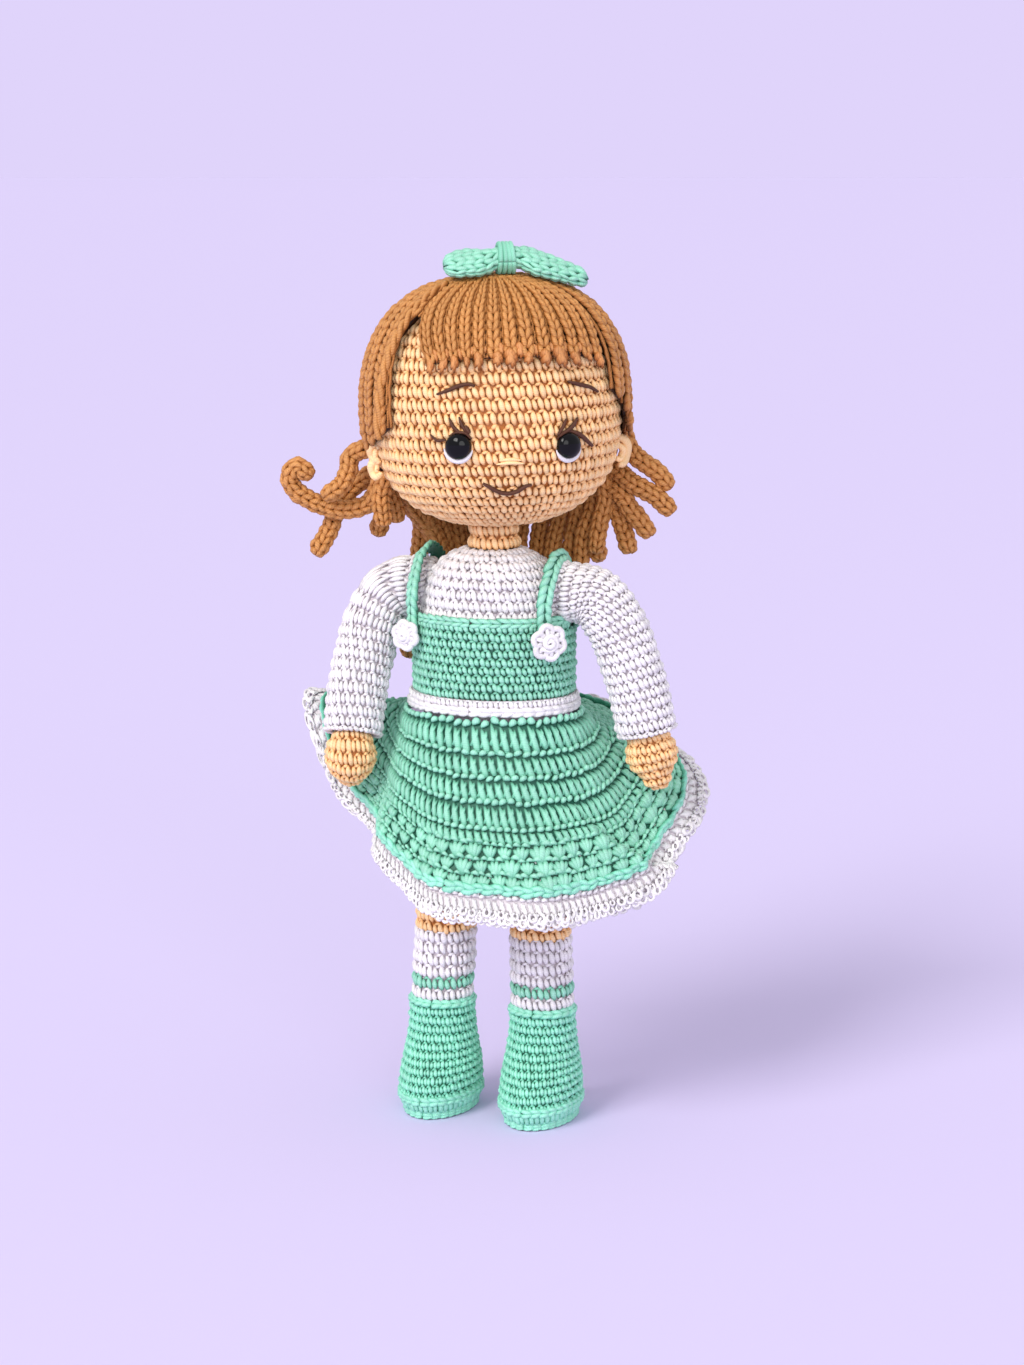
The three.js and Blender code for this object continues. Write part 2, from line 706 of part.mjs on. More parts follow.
// The level of the hair's surface over a place on the crown
function hairTop(x, y) {
  const wide = skullHalfWidth + strandOuter;
  const deep = skullHalfWidth * skullDepthShare + strandOuter;
  const ring = Math.min(Math.hypot(x / wide, y / deep), 1);
  const share = (1 - ring ** skullUpperPower) ** (1 / skullUpperPower);
  return skullLowerHeight + (skullUpperHeight + strandOuter) * share;
}

function bowPoint(along, across, offset) {
  const wing = Math.abs(along);
  const breadth = bowBreadth * readShares([0.4, 0.45, 0.8, 1, 1, 0.8], wing);
  const x = bowShift + along * bowLength / 2;
  const y = (across * breadth - bowBreadth) / 2;
  const past = Math.max(wing - wrapLength * 1.5 / bowLength, 0);
  const lift = bowRise * Math.sin(Math.PI * Math.min(past * 1.2, 1));
  return new THREE.Vector3(x, y, hairTop(x, y) + lift + offset);
}

function bow() {
  const place = (offset) => (u, v) => bowPoint(2 * u - 1, 2 * v - 1, offset);
  return thickSheet(place(bowThickness + wrapGap), place(wrapGap), 20, 4, false);
}

function bowWrap() {
  const centre = bowPoint(0, 0, wrapGap + bowThickness / 2);
  const breadth = bowBreadth * 0.27;
  const halfRise = bowThickness / 2 + fitGap;
  const outline = (grow) => {
    const shape = new THREE.Path();
    shape.absellipse(0, 0, breadth + grow, halfRise * 1.2 + grow, 0, 2 * Math.PI);
    return shape;
  };
  const ring = new THREE.Shape(outline(fitGap * 3 + wrapThickness).getPoints(8));
  ring.holes.push(new THREE.Path(outline(fitGap * 3).getPoints(8)));
  const form = new THREE.ExtrudeGeometry(ring, { depth: wrapLength, bevelEnabled: false });
  form.translate(0, 0, -wrapLength / 2);
  form.rotateX(Math.PI / 2);
  form.rotateZ(Math.PI / 2);
  form.translate(centre.x, centre.y, centre.z);
  return closedMesh(form);
}

addPiece(head, 'bow', bow(), 'mintYarn');
addPiece(head, 'bow_wrap', bowWrap(), 'mintYarn');

// Arms: a sleeve from its round head at the shoulder to the cuff, and a hand past it

const sleeveRouteShares = {
  left: [[0, 0, 0], [0.21, 0, -0.04], [0.36, 0.01, -0.23], [0.45, 0.02, -0.46],
    [0.52, 0.03, -0.7], [0.57, 0.04, -0.94]],
  right: [[0, 0, 0], [0.19, -0.03, -0.04], [0.31, -0.1, -0.22], [0.355, -0.2, -0.48],
    [0.37, -0.31, -0.74], [0.365, -0.4, -1]],
};
const handLean = { left: new THREE.Vector3(0.25, 0.02, -1), right: new THREE.Vector3(-0.27, 0.7, -0.85) };
const handBendShares = [0, 0.45, 0.85];
const handRouteShare = 0.76;
const handRadiusShares = [0.72, 0.86, 1, 1, 0.88, 0.6];

function sleeveRoute(side) {
  return sleeveRouteShares[side.name].map(([x, y, z]) => (
    new THREE.Vector3(side.sign * x, y, z).multiplyScalar(sleeveReach).add(shoulderCentre(side))));
}

for (const side of hands) {
  const route = sleeveRoute(side);
  const sleeve = sweptForm(route, sleeveRadius, [1, 1, 1.02, 1, 1], 9, 14, { domes: [true, false] });
  addPiece(body, `sleeve_${side.name}`, sleeve, 'whiteYarn');
  const tangent = new THREE.CatmullRomCurve3(route).getTangentAt(1);
  const handRoute = [route[route.length - 1].clone().addScaledVector(tangent, clothGap)];
  const lean = handLean[side.name].clone().normalize();
  for (const bend of handBendShares) {
    const onward = tangent.clone().lerp(lean, bend).normalize();
    const step = handLength * handRouteShare / handBendShares.length;
    handRoute.push(handRoute[handRoute.length - 1].clone().addScaledVector(onward, step));
  }
  const hand = sweptForm(handRoute, handRadius, handRadiusShares, 5, 12, { domes: [false, true] });
  addPiece(body, `hand_${side.name}`, hand, 'skinYarn');
}

// Legs: a stuffed leg, a sock round its lower half, and a shoe with insole and sole

function legMiddle(side, height) {
  const t = THREE.MathUtils.clamp((hipHeight - height) / (hipHeight - shoeHeight), 0, 1);
  const foot = new THREE.Vector3(side.sign * side.footOut, 0, height);
  return hipCentre(side).setZ(height).lerp(foot, t);
}

function roundRing(middle, radius, sides) {
  return Array.from({ length: sides }, (_, k) => {
    const turn = (k / sides) * 2 * Math.PI;
    return middle.clone().add(new THREE.Vector3(radius * Math.cos(turn), radius * Math.sin(turn), 0));
  });
}

function legForm(side, grow) {
  const shoulder = sockTopHeight + clothGap;
  const dome = [1.35, 1.1, 0.8, 0.45].map((turn) => (
    [hipHeight + (thighRadius + grow) * Math.sin(turn), (thighRadius + grow) * Math.cos(turn)]));
  const rows = [
    ...dome, [hipHeight, thighRadius + grow], [(hipHeight + shoulder) / 2, thighRadius + grow],
    [shoulder - grow, thighRadius + grow], [shoulder - grow, ankleRadius + grow],
    [shoeHeight, ankleRadius + grow], [soleThickness + shoePadding - grow, ankleRadius + grow],
  ];
  return stackedRings(rows.map(([height, radius]) => roundRing(legMiddle(side, height), radius, 16)));
}

function sock(side) {
  const ends = [shoeHeight + clothGap, sockTopHeight];
  const outside = stackedRings(ends.map((z) => roundRing(legMiddle(side, z), sockRadius, 16)));
  const reach = [ends[0] - cutOverrun, shoeHeight, ends[1], ends[1] + cutOverrun];
  const bore = ankleRadius + fitGap;
  const inside = stackedRings(reach.map((z) => roundRing(legMiddle(side, z), bore, 16)));
  return cut(outside, [inside]);
}

// Height, half width, toe length and heel length of the shoe, each as a share of its largest
const shoeSectionShares = [
  [0, 0.9, 0.93, 0.93], [0.1, 0.97, 1, 1], [0.24, 1, 1, 1], [0.38, 0.98, 0.87, 0.94],
  [0.52, 0.93, 0.68, 0.85], [0.68, 0.87, 0.56, 0.76], [0.86, 0.84, 0.53, 0.71], [1, 0.82, 0.515, 0.69],
];

function shoeRing(middle, widthShare, toeShare, heelShare, grow, sides) {
  return Array.from({ length: sides }, (_, k) => {
    const turn = (k / sides) * 2 * Math.PI;
    const toe = -(toeShare * shoeToeLength + grow);
    const reach = Math.sin(turn) > 0 ? heelShare * shoeHeelLength + grow : -toe;
    const x = (widthShare * shoeHalfWidth + grow) * Math.cos(turn);
    return middle.clone().add(new THREE.Vector3(x, reach * Math.sin(turn), 0));
  });
}

function shoe(side) {
  const bottom = soleThickness + fitGap;
  const rings = shoeSectionShares.map(([share, width, toe, heel]) => {
    const height = THREE.MathUtils.lerp(bottom, shoeHeight, share);
    return shoeRing(legMiddle(side, shoeHeight).setZ(height), width, toe, heel, 0, 20);
  });
  return cut(stackedRings(rings), [legForm(side, fitGap)]);
}

function plate(side, bottom, top, grow) {
  const [, width, toe, heel] = shoeSectionShares[0];
  const rings = [bottom, top].map((height) => (
    shoeRing(legMiddle(side, shoeHeight).setZ(height), width, toe, heel, grow, 20)));
  return stackedRings(rings);
}

const soleRim = 3;

for (const side of hands) {
  addPiece(body, `leg_${side.name}`, legForm(side, 0), 'skinYarn');
  addPiece(body, `sock_${side.name}`, sock(side), 'whiteYarn');
  addPiece(body, `shoe_${side.name}`, shoe(side), 'mintYarn');
  const recessFloor = soleThickness - insoleThickness - fitGap;
  const recess = plate(side, recessFloor, soleThickness + cutOverrun, fitGap - soleRim);
  addPiece(body, `sole_${side.name}`, cut(plate(side, 0, soleThickness, 0), [recess]), 'mintYarn');
  const insole = plate(side, soleThickness - insoleThickness, soleThickness, -soleRim);
  addPiece(body, `insole_${side.name}`, insole, 'insoleSheet');
}

// Dress: bodice, belt, skirt, petticoat and straps, all over the torso

function bodice() {
  const inner = torsoHalfWidth + fitGap;
  const band = turnedRing(inner, inner + clothThickness, bodiceBottom, bodiceTop, torsoDepthShare, 32);
  return cut(band, hands.map((side) => ball(sleeveRadius + jointGap + clothGap, shoulderCentre(side))));
}

const beltInner = torsoHalfWidth + fitGap;
const belt = turnedRing(beltInner, beltInner + beltThickness, beltBottom, beltTop, torsoDepthShare, 32);
addPiece(body, 'dress_bodice', bodice(), 'mintYarn');
addPiece(body, 'dress_belt', belt, 'whiteYarn');

// The hem every fifteen degrees, from the front of the doll's frame towards +X: its distance from
// the middle line as a share of the skirt's reach, and its height as a share of the way to the waist
const hemReachShares = [0.714, 0.729, 0.743, 0.771, 0.8, 0.87, 0.98, 1.01, 0.97, 0.92, 0.84, 0.755,
  0.72, 0.745, 0.85, 0.98, 1.086, 0.8, 0.614, 0.593, 0.614, 0.643, 0.671, 0.7];
const hemRiseShares = [0.016, 0, 0, 0.016, 0.058, 0.18, 0.39, 0.59, 0.74, 0.84, 0.92, 0.8,
  0.59, 0.59, 0.79, 0.92, 0.97, 0.53, 0.37, 0.305, 0.255, 0.15, 0.066, 0.033];

const upward = new THREE.Vector3(0, 0, 1);

function hemCurve() {
  const points = hemReachShares.map((share, i) => {
    const turn = (i / hemReachShares.length) * 2 * Math.PI;
    const height = THREE.MathUtils.lerp(skirtLowest, skirtTop, hemRiseShares[i]);
    const reach = share * skirtReach;
    const point = new THREE.Vector3(reach * Math.sin(turn), -reach * Math.cos(turn), height);
    return point.applyAxisAngle(upward, -bodyYaw);
  });
  return new THREE.CatmullRomCurve3(points, true);
}

const hem = hemCurve();
const yawShare = bodyYaw / (2 * Math.PI);

// The middle face between skirt and petticoat, along running from the waist to the hem
function skirtMiddle(around, along) {
  const turn = around * 2 * Math.PI;
  const waist = torsoHalfWidth + clothThickness + clothGap * 2;
  const front = -waist * torsoDepthShare * Math.cos(turn);
  const point = new THREE.Vector3(waist * Math.sin(turn), front, skirtTop);
  point.lerp(hem.getPoint((around + yawShare + 1) % 1), along);
  const fold = foldDepth * Math.max(along, 0) ** 1.6 * Math.cos(foldCount * turn);
  point.x += fold * Math.sin(turn);
  point.y -= fold * Math.cos(turn);
  point.z -= 4 * skirtSag * along * (1 - along);
  return point;
}

function skirtPoint(around, along, offset) {
  const reach = 0.004;
  const sideways = skirtMiddle(around + reach, along).sub(skirtMiddle(around - reach + 1, along));
  const down = skirtMiddle(around, along + reach).sub(skirtMiddle(around, along - reach));
  const normal = down.cross(sideways).normalize();
  return skirtMiddle(around, along).addScaledVector(normal, offset);
}

// Skirt and petticoat share one grid of rows: the skirt stops a row short of the hem, and the
// petticoat starts a row below the waist
function skirtLayer(outer, inner, firstRow) {
  const rows = skirtRows - 1;
  const place = (offset) => (u, v) => skirtPoint(u, (firstRow + v * rows) / skirtRows, offset);
  return thickSheet(place(outer), place(inner), skirtColumns, rows, true);
}

const skirtForm = skirtLayer(layerGap / 2 + clothThickness, layerGap / 2, 0);
const petticoatForm = skirtLayer(-layerGap / 2, -layerGap / 2 - clothThickness, 1);
addPiece(body, 'dress_skirt', skirtForm, 'mintYarn');
addPiece(body, 'petticoat', petticoatForm, 'whiteYarn');

// Straps: from the rosette up over the head of the sleeve and down to the back of the bodice
const strapTurnShare = 0.145;
const strapLeanShares = [-0.3, 0, 0.4];
const strapArcTurns = [-1.1, -0.6, 0, 0.6, 1.1];
const rosetteDrop = 5.5;

function bodicePoint(turn, height, offset) {
  const radius = torsoHalfWidth + fitGap + clothThickness + offset;
  return new THREE.Vector3(radius * Math.sin(turn), -radius * torsoDepthShare * Math.cos(turn), height);
}

function strapRoute(side) {
  const reach = sleeveRadius + jointGap + clothGap + strapThickness / 2;
  const over = strapArcTurns.map((turn) => new THREE.Vector3(
    side.sign * (shoulderSpread - strapThickness), reach * Math.sin(turn),
    shoulderHeight + reach * Math.cos(turn)));
  const low = (back) => strapLeanShares.map((share) => {
    const turn = side.sign * (back ? Math.PI - strapTurnShare * 2 * Math.PI : strapTurnShare * 2 * Math.PI);
    const height = THREE.MathUtils.lerp(bodiceTop, shoulderHeight + sleeveRadius, share);
    return bodicePoint(turn, height, fitGap * 2 + strapThickness / 2);
  });
  return [...low(false), ...over, ...low(true).reverse()];
}

function strap(side) {
  const centre = new THREE.Vector3(0, 0, bodiceTop);
  return sweptForm(strapRoute(side), strapWidth / 2, [1, 1], 16, 6,
    { up: (point) => point.clone().sub(centre), flatShare: strapThickness / strapWidth });
}

function rosette(side) {
  const outline = new THREE.Shape(Array.from({ length: rosettePetals * 4 }, (_, k) => {
    const turn = (k / (rosettePetals * 4)) * 2 * Math.PI;
    const radius = rosetteRadius * (0.93 + 0.07 * Math.cos(turn * rosettePetals));
    return new THREE.Vector2(radius * Math.cos(turn), radius * Math.sin(turn));
  }));
  const bevel = rosetteThickness / 3;
  const form = new THREE.ExtrudeGeometry(outline, { depth: rosetteThickness - 2 * bevel, steps: 1,
    bevelThickness: bevel, bevelSize: bevel, bevelOffset: -bevel, bevelSegments: 1 });
  form.translate(0, 0, bevel);
  const turn = side.sign * strapTurnShare * 2 * Math.PI;
  const out = new THREE.Vector3(Math.sin(turn) * torsoDepthShare, -Math.cos(turn), 0).normalize();
  form.applyQuaternion(new THREE.Quaternion().setFromUnitVectors(new THREE.Vector3(0, 0, 1), out));
  const place = bodicePoint(turn, bodiceTop - rosetteDrop, strapThickness + fitGap * 4);
  form.translate(place.x, place.y, place.z);
  return closedMesh(form);
}

for (const side of hands) {
  addPiece(body, `strap_${side.name}`, strap(side), 'mintYarn');
  addPiece(body, `rosette_${side.name}`, rosette(side), 'whiteYarn');
}

export default doll;
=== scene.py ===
"""A crocheted doll in a mint dress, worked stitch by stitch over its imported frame.
Lengths are millimetres until a mesh is made. The doll faces -Y and stands on z 0.
On a surface, u runs to the right and v down, as seen from outside."""

import math

import bpy
import numpy as np
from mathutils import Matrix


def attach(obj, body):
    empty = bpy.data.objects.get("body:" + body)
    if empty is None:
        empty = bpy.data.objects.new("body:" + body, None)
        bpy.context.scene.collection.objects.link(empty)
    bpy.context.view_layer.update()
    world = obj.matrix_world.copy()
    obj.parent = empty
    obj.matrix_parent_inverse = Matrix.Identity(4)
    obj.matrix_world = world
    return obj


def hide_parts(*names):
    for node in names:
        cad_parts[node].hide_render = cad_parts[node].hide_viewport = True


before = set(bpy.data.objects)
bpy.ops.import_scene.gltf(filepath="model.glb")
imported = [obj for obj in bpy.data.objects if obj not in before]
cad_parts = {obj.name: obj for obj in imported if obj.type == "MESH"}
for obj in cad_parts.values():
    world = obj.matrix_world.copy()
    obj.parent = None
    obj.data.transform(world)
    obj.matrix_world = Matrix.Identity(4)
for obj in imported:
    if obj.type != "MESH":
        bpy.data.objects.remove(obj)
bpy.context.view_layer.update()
chance = np.random.default_rng(41)
TURN = 2 * math.pi
MM = 0.001
UP = np.array([0.0, 0.0, 1.0])
SIDES = {"left": 1, "right": -1}


def placed(name, data):
    made = bpy.data.objects.new(name, data)
    bpy.context.scene.collection.objects.link(made)
    return made


def place_camera():
    data = bpy.data.cameras.new("camera")
    data.sensor_fit = "VERTICAL"
    data.sensor_height = 36
    data.lens = 79.12
    camera = placed("camera", data)
    camera.location = (0.006, -0.9848, 0.3216)
    camera.rotation_euler = (math.radians(80), 0, 0)
    bpy.context.scene.camera = camera


place_camera()


# Finishes


def linear(colour):
    """A #rrggbb colour as the linear values that a shader takes."""
    shares = [int(colour[i : i + 2], 16) / 255 for i in (1, 3, 5)]
    lit = [s / 12.92 if s <= 0.04045 else ((s + 0.055) / 1.055) ** 2.4 for s in shares]
    return (*lit, 1.0)


def feed(tree, made, inputs):
    """Gives a node's inputs their plain values, or links them to other sockets."""
    for key, value in inputs.items():
        if isinstance(value, bpy.types.NodeSocket):
            tree.links.new(value, made.inputs[key])
        else:
            made.inputs[key].default_value = value


def node(tree, kind, inputs=None, **settings):
    made = tree.nodes.new(kind)
    for key, value in settings.items():
        setattr(made, key, value)
    feed(tree, made, inputs or {})
    return made


def calculate(tree, operation, *values):
    """A Math node on sockets or plain numbers."""
    return node(tree, "ShaderNodeMath", dict(enumerate(values)), operation=operation).outputs[0]


def blend_colours(tree, share, first, second, way="MIX"):
    # Inputs 6 and 7 and output 2 are the Mix node's colours
    inputs = {0: share, 6: first, 7: second}
    return node(tree, "ShaderNodeMix", inputs, data_type="RGBA", blend_type=way).outputs[2]


def noise_over(tree, place, scale, detail=2):
    inputs = {"Vector": place, "Scale": scale, "Detail": detail}
    return node(tree, "ShaderNodeTexNoise", inputs).outputs["Fac"]


def on_object(tree):
    return node(tree, "ShaderNodeTexCoord").outputs["Object"]


def yarn_look():
    """Plies and fibres of yarn, with painted shade in its crevices and a painted highlight on its crowns,
    shared by every crocheted finish.
    """
    tree = bpy.data.node_groups.new("yarn look", "ShaderNodeTree")
    sockets = [
        ("Colour", "INPUT", "NodeSocketColor", None),
        ("Painted shade", "INPUT", "NodeSocketColor", None),
        ("Painted highlight", "INPUT", "NodeSocketColor", None),
        ("Plies", "INPUT", "NodeSocketFloat", 1.6),
        ("Depth", "INPUT", "NodeSocketFloat", 0.35),
        ("Colour", "OUTPUT", "NodeSocketColor", None),
        ("Roughness", "OUTPUT", "NodeSocketFloat", None),
        ("Normal", "OUTPUT", "NodeSocketVector", None),
    ]
    for name, way, kind, value in sockets:
        made = tree.interface.new_socket(name, in_out=way, socket_type=kind)
        if value is not None:
            made.default_value = value
    given = node(tree, "NodeGroupInput").outputs
    lift = node(tree, "ShaderNodeAttribute", attribute_name="lift").outputs["Fac"]
    tone = node(tree, "ShaderNodeAttribute", attribute_name="tone").outputs["Fac"]
    strand_uv = node(tree, "ShaderNodeUVMap", uv_map="ply").outputs[0]
    strand_split = node(tree, "ShaderNodeSeparateXYZ", {0: strand_uv}).outputs
    along, around = strand_split[0], strand_split[1]

    # Three plies wind round each strand, and the fibres lie along them
    phase = calculate(tree, "MULTIPLY_ADD", along, given["Plies"], calculate(tree, "MULTIPLY", around, 3.0))
    wave = calculate(tree, "SINE", calculate(tree, "MULTIPLY", phase, math.pi))
    ply = calculate(tree, "ABSOLUTE", wave)
    scaled = {
        0: calculate(tree, "MULTIPLY", phase, 3.5),
        1: calculate(tree, "MULTIPLY", along, 0.5),
        2: calculate(tree, "MULTIPLY", tone, 90.0),
    }
    fibre = noise_over(tree, node(tree, "ShaderNodeCombineXYZ", scaled).outputs[0], 2.2, 4)
    patch = noise_over(tree, on_object(tree), 55)

    # Painted shade and highlight: low places take the darker colour meant as shade in the crevices, and high
    # ones the lighter colour meant as a highlight on the crowns
    smooth = {"interpolation_type": "SMOOTHSTEP"}
    shade = node(tree, "ShaderNodeMapRange", {"Value": lift, "From Max": 0.72}, **smooth).outputs[0]
    top = node(tree, "ShaderNodeMapRange", {"Value": lift, "From Min": 0.55}, **smooth).outputs[0]
    body = blend_colours(tree, shade, given["Painted shade"], given["Colour"])
    highlighted = blend_colours(tree, calculate(tree, "MULTIPLY", top, 0.6), body, given["Painted highlight"])

    # Each strand has its own tone, and fibres and patches vary it. The plies darken it in their grooves,
    # which is painted shade
    drift = calculate(tree, "MULTIPLY_ADD", tone, 0.16, 0.86)
    drift = calculate(tree, "MULTIPLY_ADD", fibre, 0.12, drift)
    drift = calculate(tree, "MULTIPLY_ADD", patch, 0.1, calculate(tree, "SUBTRACT", drift, 0.05))
    drift = calculate(tree, "MULTIPLY", drift, calculate(tree, "MULTIPLY_ADD", ply, 0.12, 0.9))
    grey = node(tree, "ShaderNodeCombineColor", {0: drift, 1: drift, 2: drift}).outputs[0]
    height = calculate(tree, "MULTIPLY_ADD", fibre, 0.7, ply)
    relief = {"Distance": 0.00022, "Strength": given["Depth"], "Height": height}
    results = {
        "Colour": blend_colours(tree, 1.0, highlighted, grey, "MULTIPLY"),
        "Roughness": calculate(tree, "MULTIPLY_ADD", fibre, 0.24, 0.42),
        "Normal": node(tree, "ShaderNodeBump", relief).outputs[0],
    }
    node(tree, "NodeGroupOutput", results)
    return tree


yarn_nodes = yarn_look()


def new_finish(name):
    """A new material, its tree and its shader."""
    material = bpy.data.materials.new(name)
    material.use_nodes = True
    return material, material.node_tree, material.node_tree.nodes["Principled BSDF"]


def yarn_finish(name, colour, painted_shade, crown, plies=1.6, depth=0.35, fuzz=0.25):
    """A material of spun yarn: its own colour, a darker colour painted in its crevices as shade, and a
    lighter colour painted on its crowns as a highlight, which also tints the sheen.
    """
    material, tree, shader = new_finish(name)
    values = {"Colour": linear(colour), "Painted shade": linear(painted_shade), "Painted highlight": linear(crown)}
    values.update({"Plies": plies, "Depth": depth})
    look = node(tree, "ShaderNodeGroup", node_tree=yarn_nodes)
    feed(tree, look, values)
    inputs = {
        "Sheen Weight": fuzz,
        "Sheen Roughness": 0.45,
        "Sheen Tint": linear(crown),
        "Specular IOR Level": 0.42,
        "Base Color": look.outputs["Colour"],
        "Roughness": look.outputs["Roughness"],
        "Normal": look.outputs["Normal"],
    }
    feed(tree, shader, inputs)
    return material


def grained_finish(
    name, light, dark, roughness, scale, detail=5, stretch=(1, 1, 1), relief=(0.0001, 0.6), gloss=0.5
):
    """A finish whose colour, roughness and bump follow one noise, stretched for grain or fibre.
    roughness gives the noise's share and the least value, and relief the distance and strength."""
    material, tree, shader = new_finish(name)
    place = node(tree, "ShaderNodeMapping", {"Vector": on_object(tree), "Scale": stretch}).outputs[0]
    grain = noise_over(tree, place, scale, detail)
    bumped = {"Distance": relief[0], "Strength": relief[1], "Height": grain}
    inputs = {
        "Specular IOR Level": gloss,
        "Base Color": blend_colours(tree, grain, linear(dark), linear(light)),
        "Roughness": calculate(tree, "MULTIPLY_ADD", grain, *roughness),
        "Normal": node(tree, "ShaderNodeBump", bumped).outputs[0],
    }
    feed(tree, shader, inputs)
    return material


# For each yarn: its own colour, then painted shade for its crevices, then a painted highlight for its crowns
skin_yarn = yarn_finish("skin yarn", "#f9c485", "#c4732f", "#ffe2b0")
hair_yarn = yarn_finish("hair yarn", "#a86729", "#2c0f02", "#e6a863", 1.2, 0.6)
hair_tip_yarn = yarn_finish("hair tip yarn", "#b46c2f", "#471c07", "#e3a467", 1.2, 0.6)
mint_yarn = yarn_finish("mint yarn", "#79c4a6", "#1d604b", "#b0ecd5")
mint_bright_yarn = yarn_finish("bright mint yarn", "#77d1b2", "#257c5f", "#b3f5dd")
white_yarn = yarn_finish("white yarn", "#e7e4e6", "#cabdc5", "#edebec", depth=0.25)
face_thread = yarn_finish("dark thread", "#3f1e0e", "#1d0c05", "#64381e", 2.4, 0.4, 0.05)
black_eye = grained_finish(
    "black eye plastic", "#0c0d10", "#050506", (0.05, 0.03), 900, 2, relief=(0.00001, 0.1), gloss=0.22
)
fibre_fill = grained_finish("fibre fill", "#faf8f4", "#dcd8d0", (0.2, 0.8), 260, relief=(0.0008, 0.6))
birch_wood = grained_finish("birch wood", "#e2c596", "#b98f5c", (0.2, 0.45), 180, stretch=(1, 1, 0.06))
washer_plastic = grained_finish("clear washer plastic", "#e3e4e2", "#c9cac8", (0.2, 0.25), 300)
insole_board = grained_finish("insole board", "#d2ccbc", "#aaa492", (0.2, 0.6), 400)


# Curves and surfaces


def unit(vectors):
    return vectors / np.maximum(np.linalg.norm(vectors, axis=-1, keepdims=True), 1e-9)


def run_of(line):
    """The distance along a line at each of its points."""
    return np.concatenate([[0], np.cumsum(np.linalg.norm(np.diff(line, axis=0), axis=1))])


def places_at(marks, run, line):
    """The places on a line at distances along it."""
    return np.stack([np.interp(marks, run, line[:, i]) for i in range(3)], 1)


def spline(points, shares, closed=False):
    """Points of a centripetal Catmull-Rom curve at shares of its run of control points."""
    points = np.asarray(points, float)
    spans = len(points) if closed else len(points) - 1
    run = np.asarray(shares, float) * spans
    at = np.floor(run).astype(int)
    if closed:
        four = [points[(at + k) % spans] for k in (-1, 0, 1, 2)]
    else:
        at = np.clip(at, 0, spans - 1)
        longer = np.vstack([2 * points[0] - points[1], points, 2 * points[-1] - points[-2]])
        four = [longer[at + k] for k in (0, 1, 2, 3)]
    pairs = list(zip(four[:3], four[1:]))
    gaps = [np.sqrt(np.linalg.norm(b - a, axis=1))[:, None] + 1e-9 for a, b in pairs]
    steps = [(b - a) / gap for (a, b), gap in zip(pairs, gaps)]
    first = (steps[0] - (four[2] - four[0]) / (gaps[0] + gaps[1]) + steps[1]) * gaps[1]
    last = (steps[1] - (four[3] - four[1]) / (gaps[1] + gaps[2]) + steps[2]) * gaps[1]
    t = (run - at)[:, None]
    square = 3 * (four[2] - four[1]) - 2 * first - last
    cube = 2 * (four[1] - four[2]) + first + last
    return four[1] + first * t + square * t**2 + cube * t**3


def even_route(points, count):
    """A smooth curve through the points, as evenly spaced points."""
    fine = spline(points, np.linspace(0, 1, 12 * len(points)))
    run = run_of(fine)
    return places_at(np.linspace(0, run[-1], count), run, fine)


def outward(surface, u, v):
    """The surface's directions away from the piece."""
    reach = 0.002
    right = surface(u + reach, v) - surface(u - reach, v)
    down = surface(u, v + reach) - surface(u, v - reach)
    return unit(np.cross(down, right))


def lifted(surface, amount):
    return lambda u, v: surface(u, v) + outward(surface, u, v) * amount


def turn_body(points):
    """From the body's frame to the doll's, which sees the body turned."""
    cos, sin = math.cos(math.radians(20)), math.sin(math.radians(20))
    x, y = points[..., 0], points[..., 1]
    return np.stack([x * cos + y * sin, -x * sin + y * cos, points[..., 2]], -1)


HEAD_ACROSS, HEAD_LEVEL = 1.8, 201.5


def turn_head(points):
    """From the head's frame, level at the chin, to the doll's."""
    yaw, roll = math.radians(7.5), math.radians(-1.5)
    x = points[..., 0] * math.cos(yaw) - points[..., 1] * math.sin(yaw)
    y = points[..., 0] * math.sin(yaw) + points[..., 1] * math.cos(yaw)
    z = points[..., 2]
    leaned = x * math.cos(roll) + z * math.sin(roll)
    level = -x * math.sin(roll) + z * math.cos(roll)
    return np.stack([leaned + HEAD_ACROSS, y, level + HEAD_LEVEL], -1)


def limb(points, profile, front=(0.0, -1.0, 0.0), flat=1.0):
    """A round surface along a route. profile pairs the distance along with the radius, and
    distances before 0 or past the end run straight on. front is a direction, or gives one."""
    route = even_route(points, 90)
    ahead = unit(np.gradient(route, axis=0))
    run = run_of(route)
    marks, radii = np.array(profile, float).T

    def surface(u, v):
        run_at = marks[0] + np.clip(v, -0.01, 1.01) * (marks[-1] - marks[0])
        radius = np.interp(run_at, marks, radii)
        facing = unit(places_at(run_at, run, ahead))
        past = (run_at - np.clip(run_at, 0, run[-1]))[:, None]
        centre = places_at(run_at, run, route) + facing * past
        toward = front(centre) if callable(front) else np.broadcast_to(front, centre.shape)
        out = unit(toward - facing * np.sum(toward * facing, 1)[:, None])
        turn = u[:, None] * TURN
        return centre + radius[:, None] * (out * np.cos(turn) * flat + np.cross(out, facing) * np.sin(turn))

    return surface


def length_of(points):
    return run_of(even_route(points, 90))[-1]


def domed(radius, start=None, end=None):
    """Profile pairs for a limb whose ends close in domes. start and end are distances along."""
    pairs = []
    angles = np.linspace(0, math.pi / 2, 7)
    if start is not None:
        pairs += [(start - radius * math.sin(a), radius * math.cos(a)) for a in angles[::-1]]
    if end is not None:
        pairs += [(end + radius * math.sin(a), radius * math.cos(a)) for a in angles]
    return [(d, max(r, 0.05)) for d, r in pairs]


def thinner(pairs, amount):
    return [(d, max(r - amount, 0.05)) for d, r in pairs]


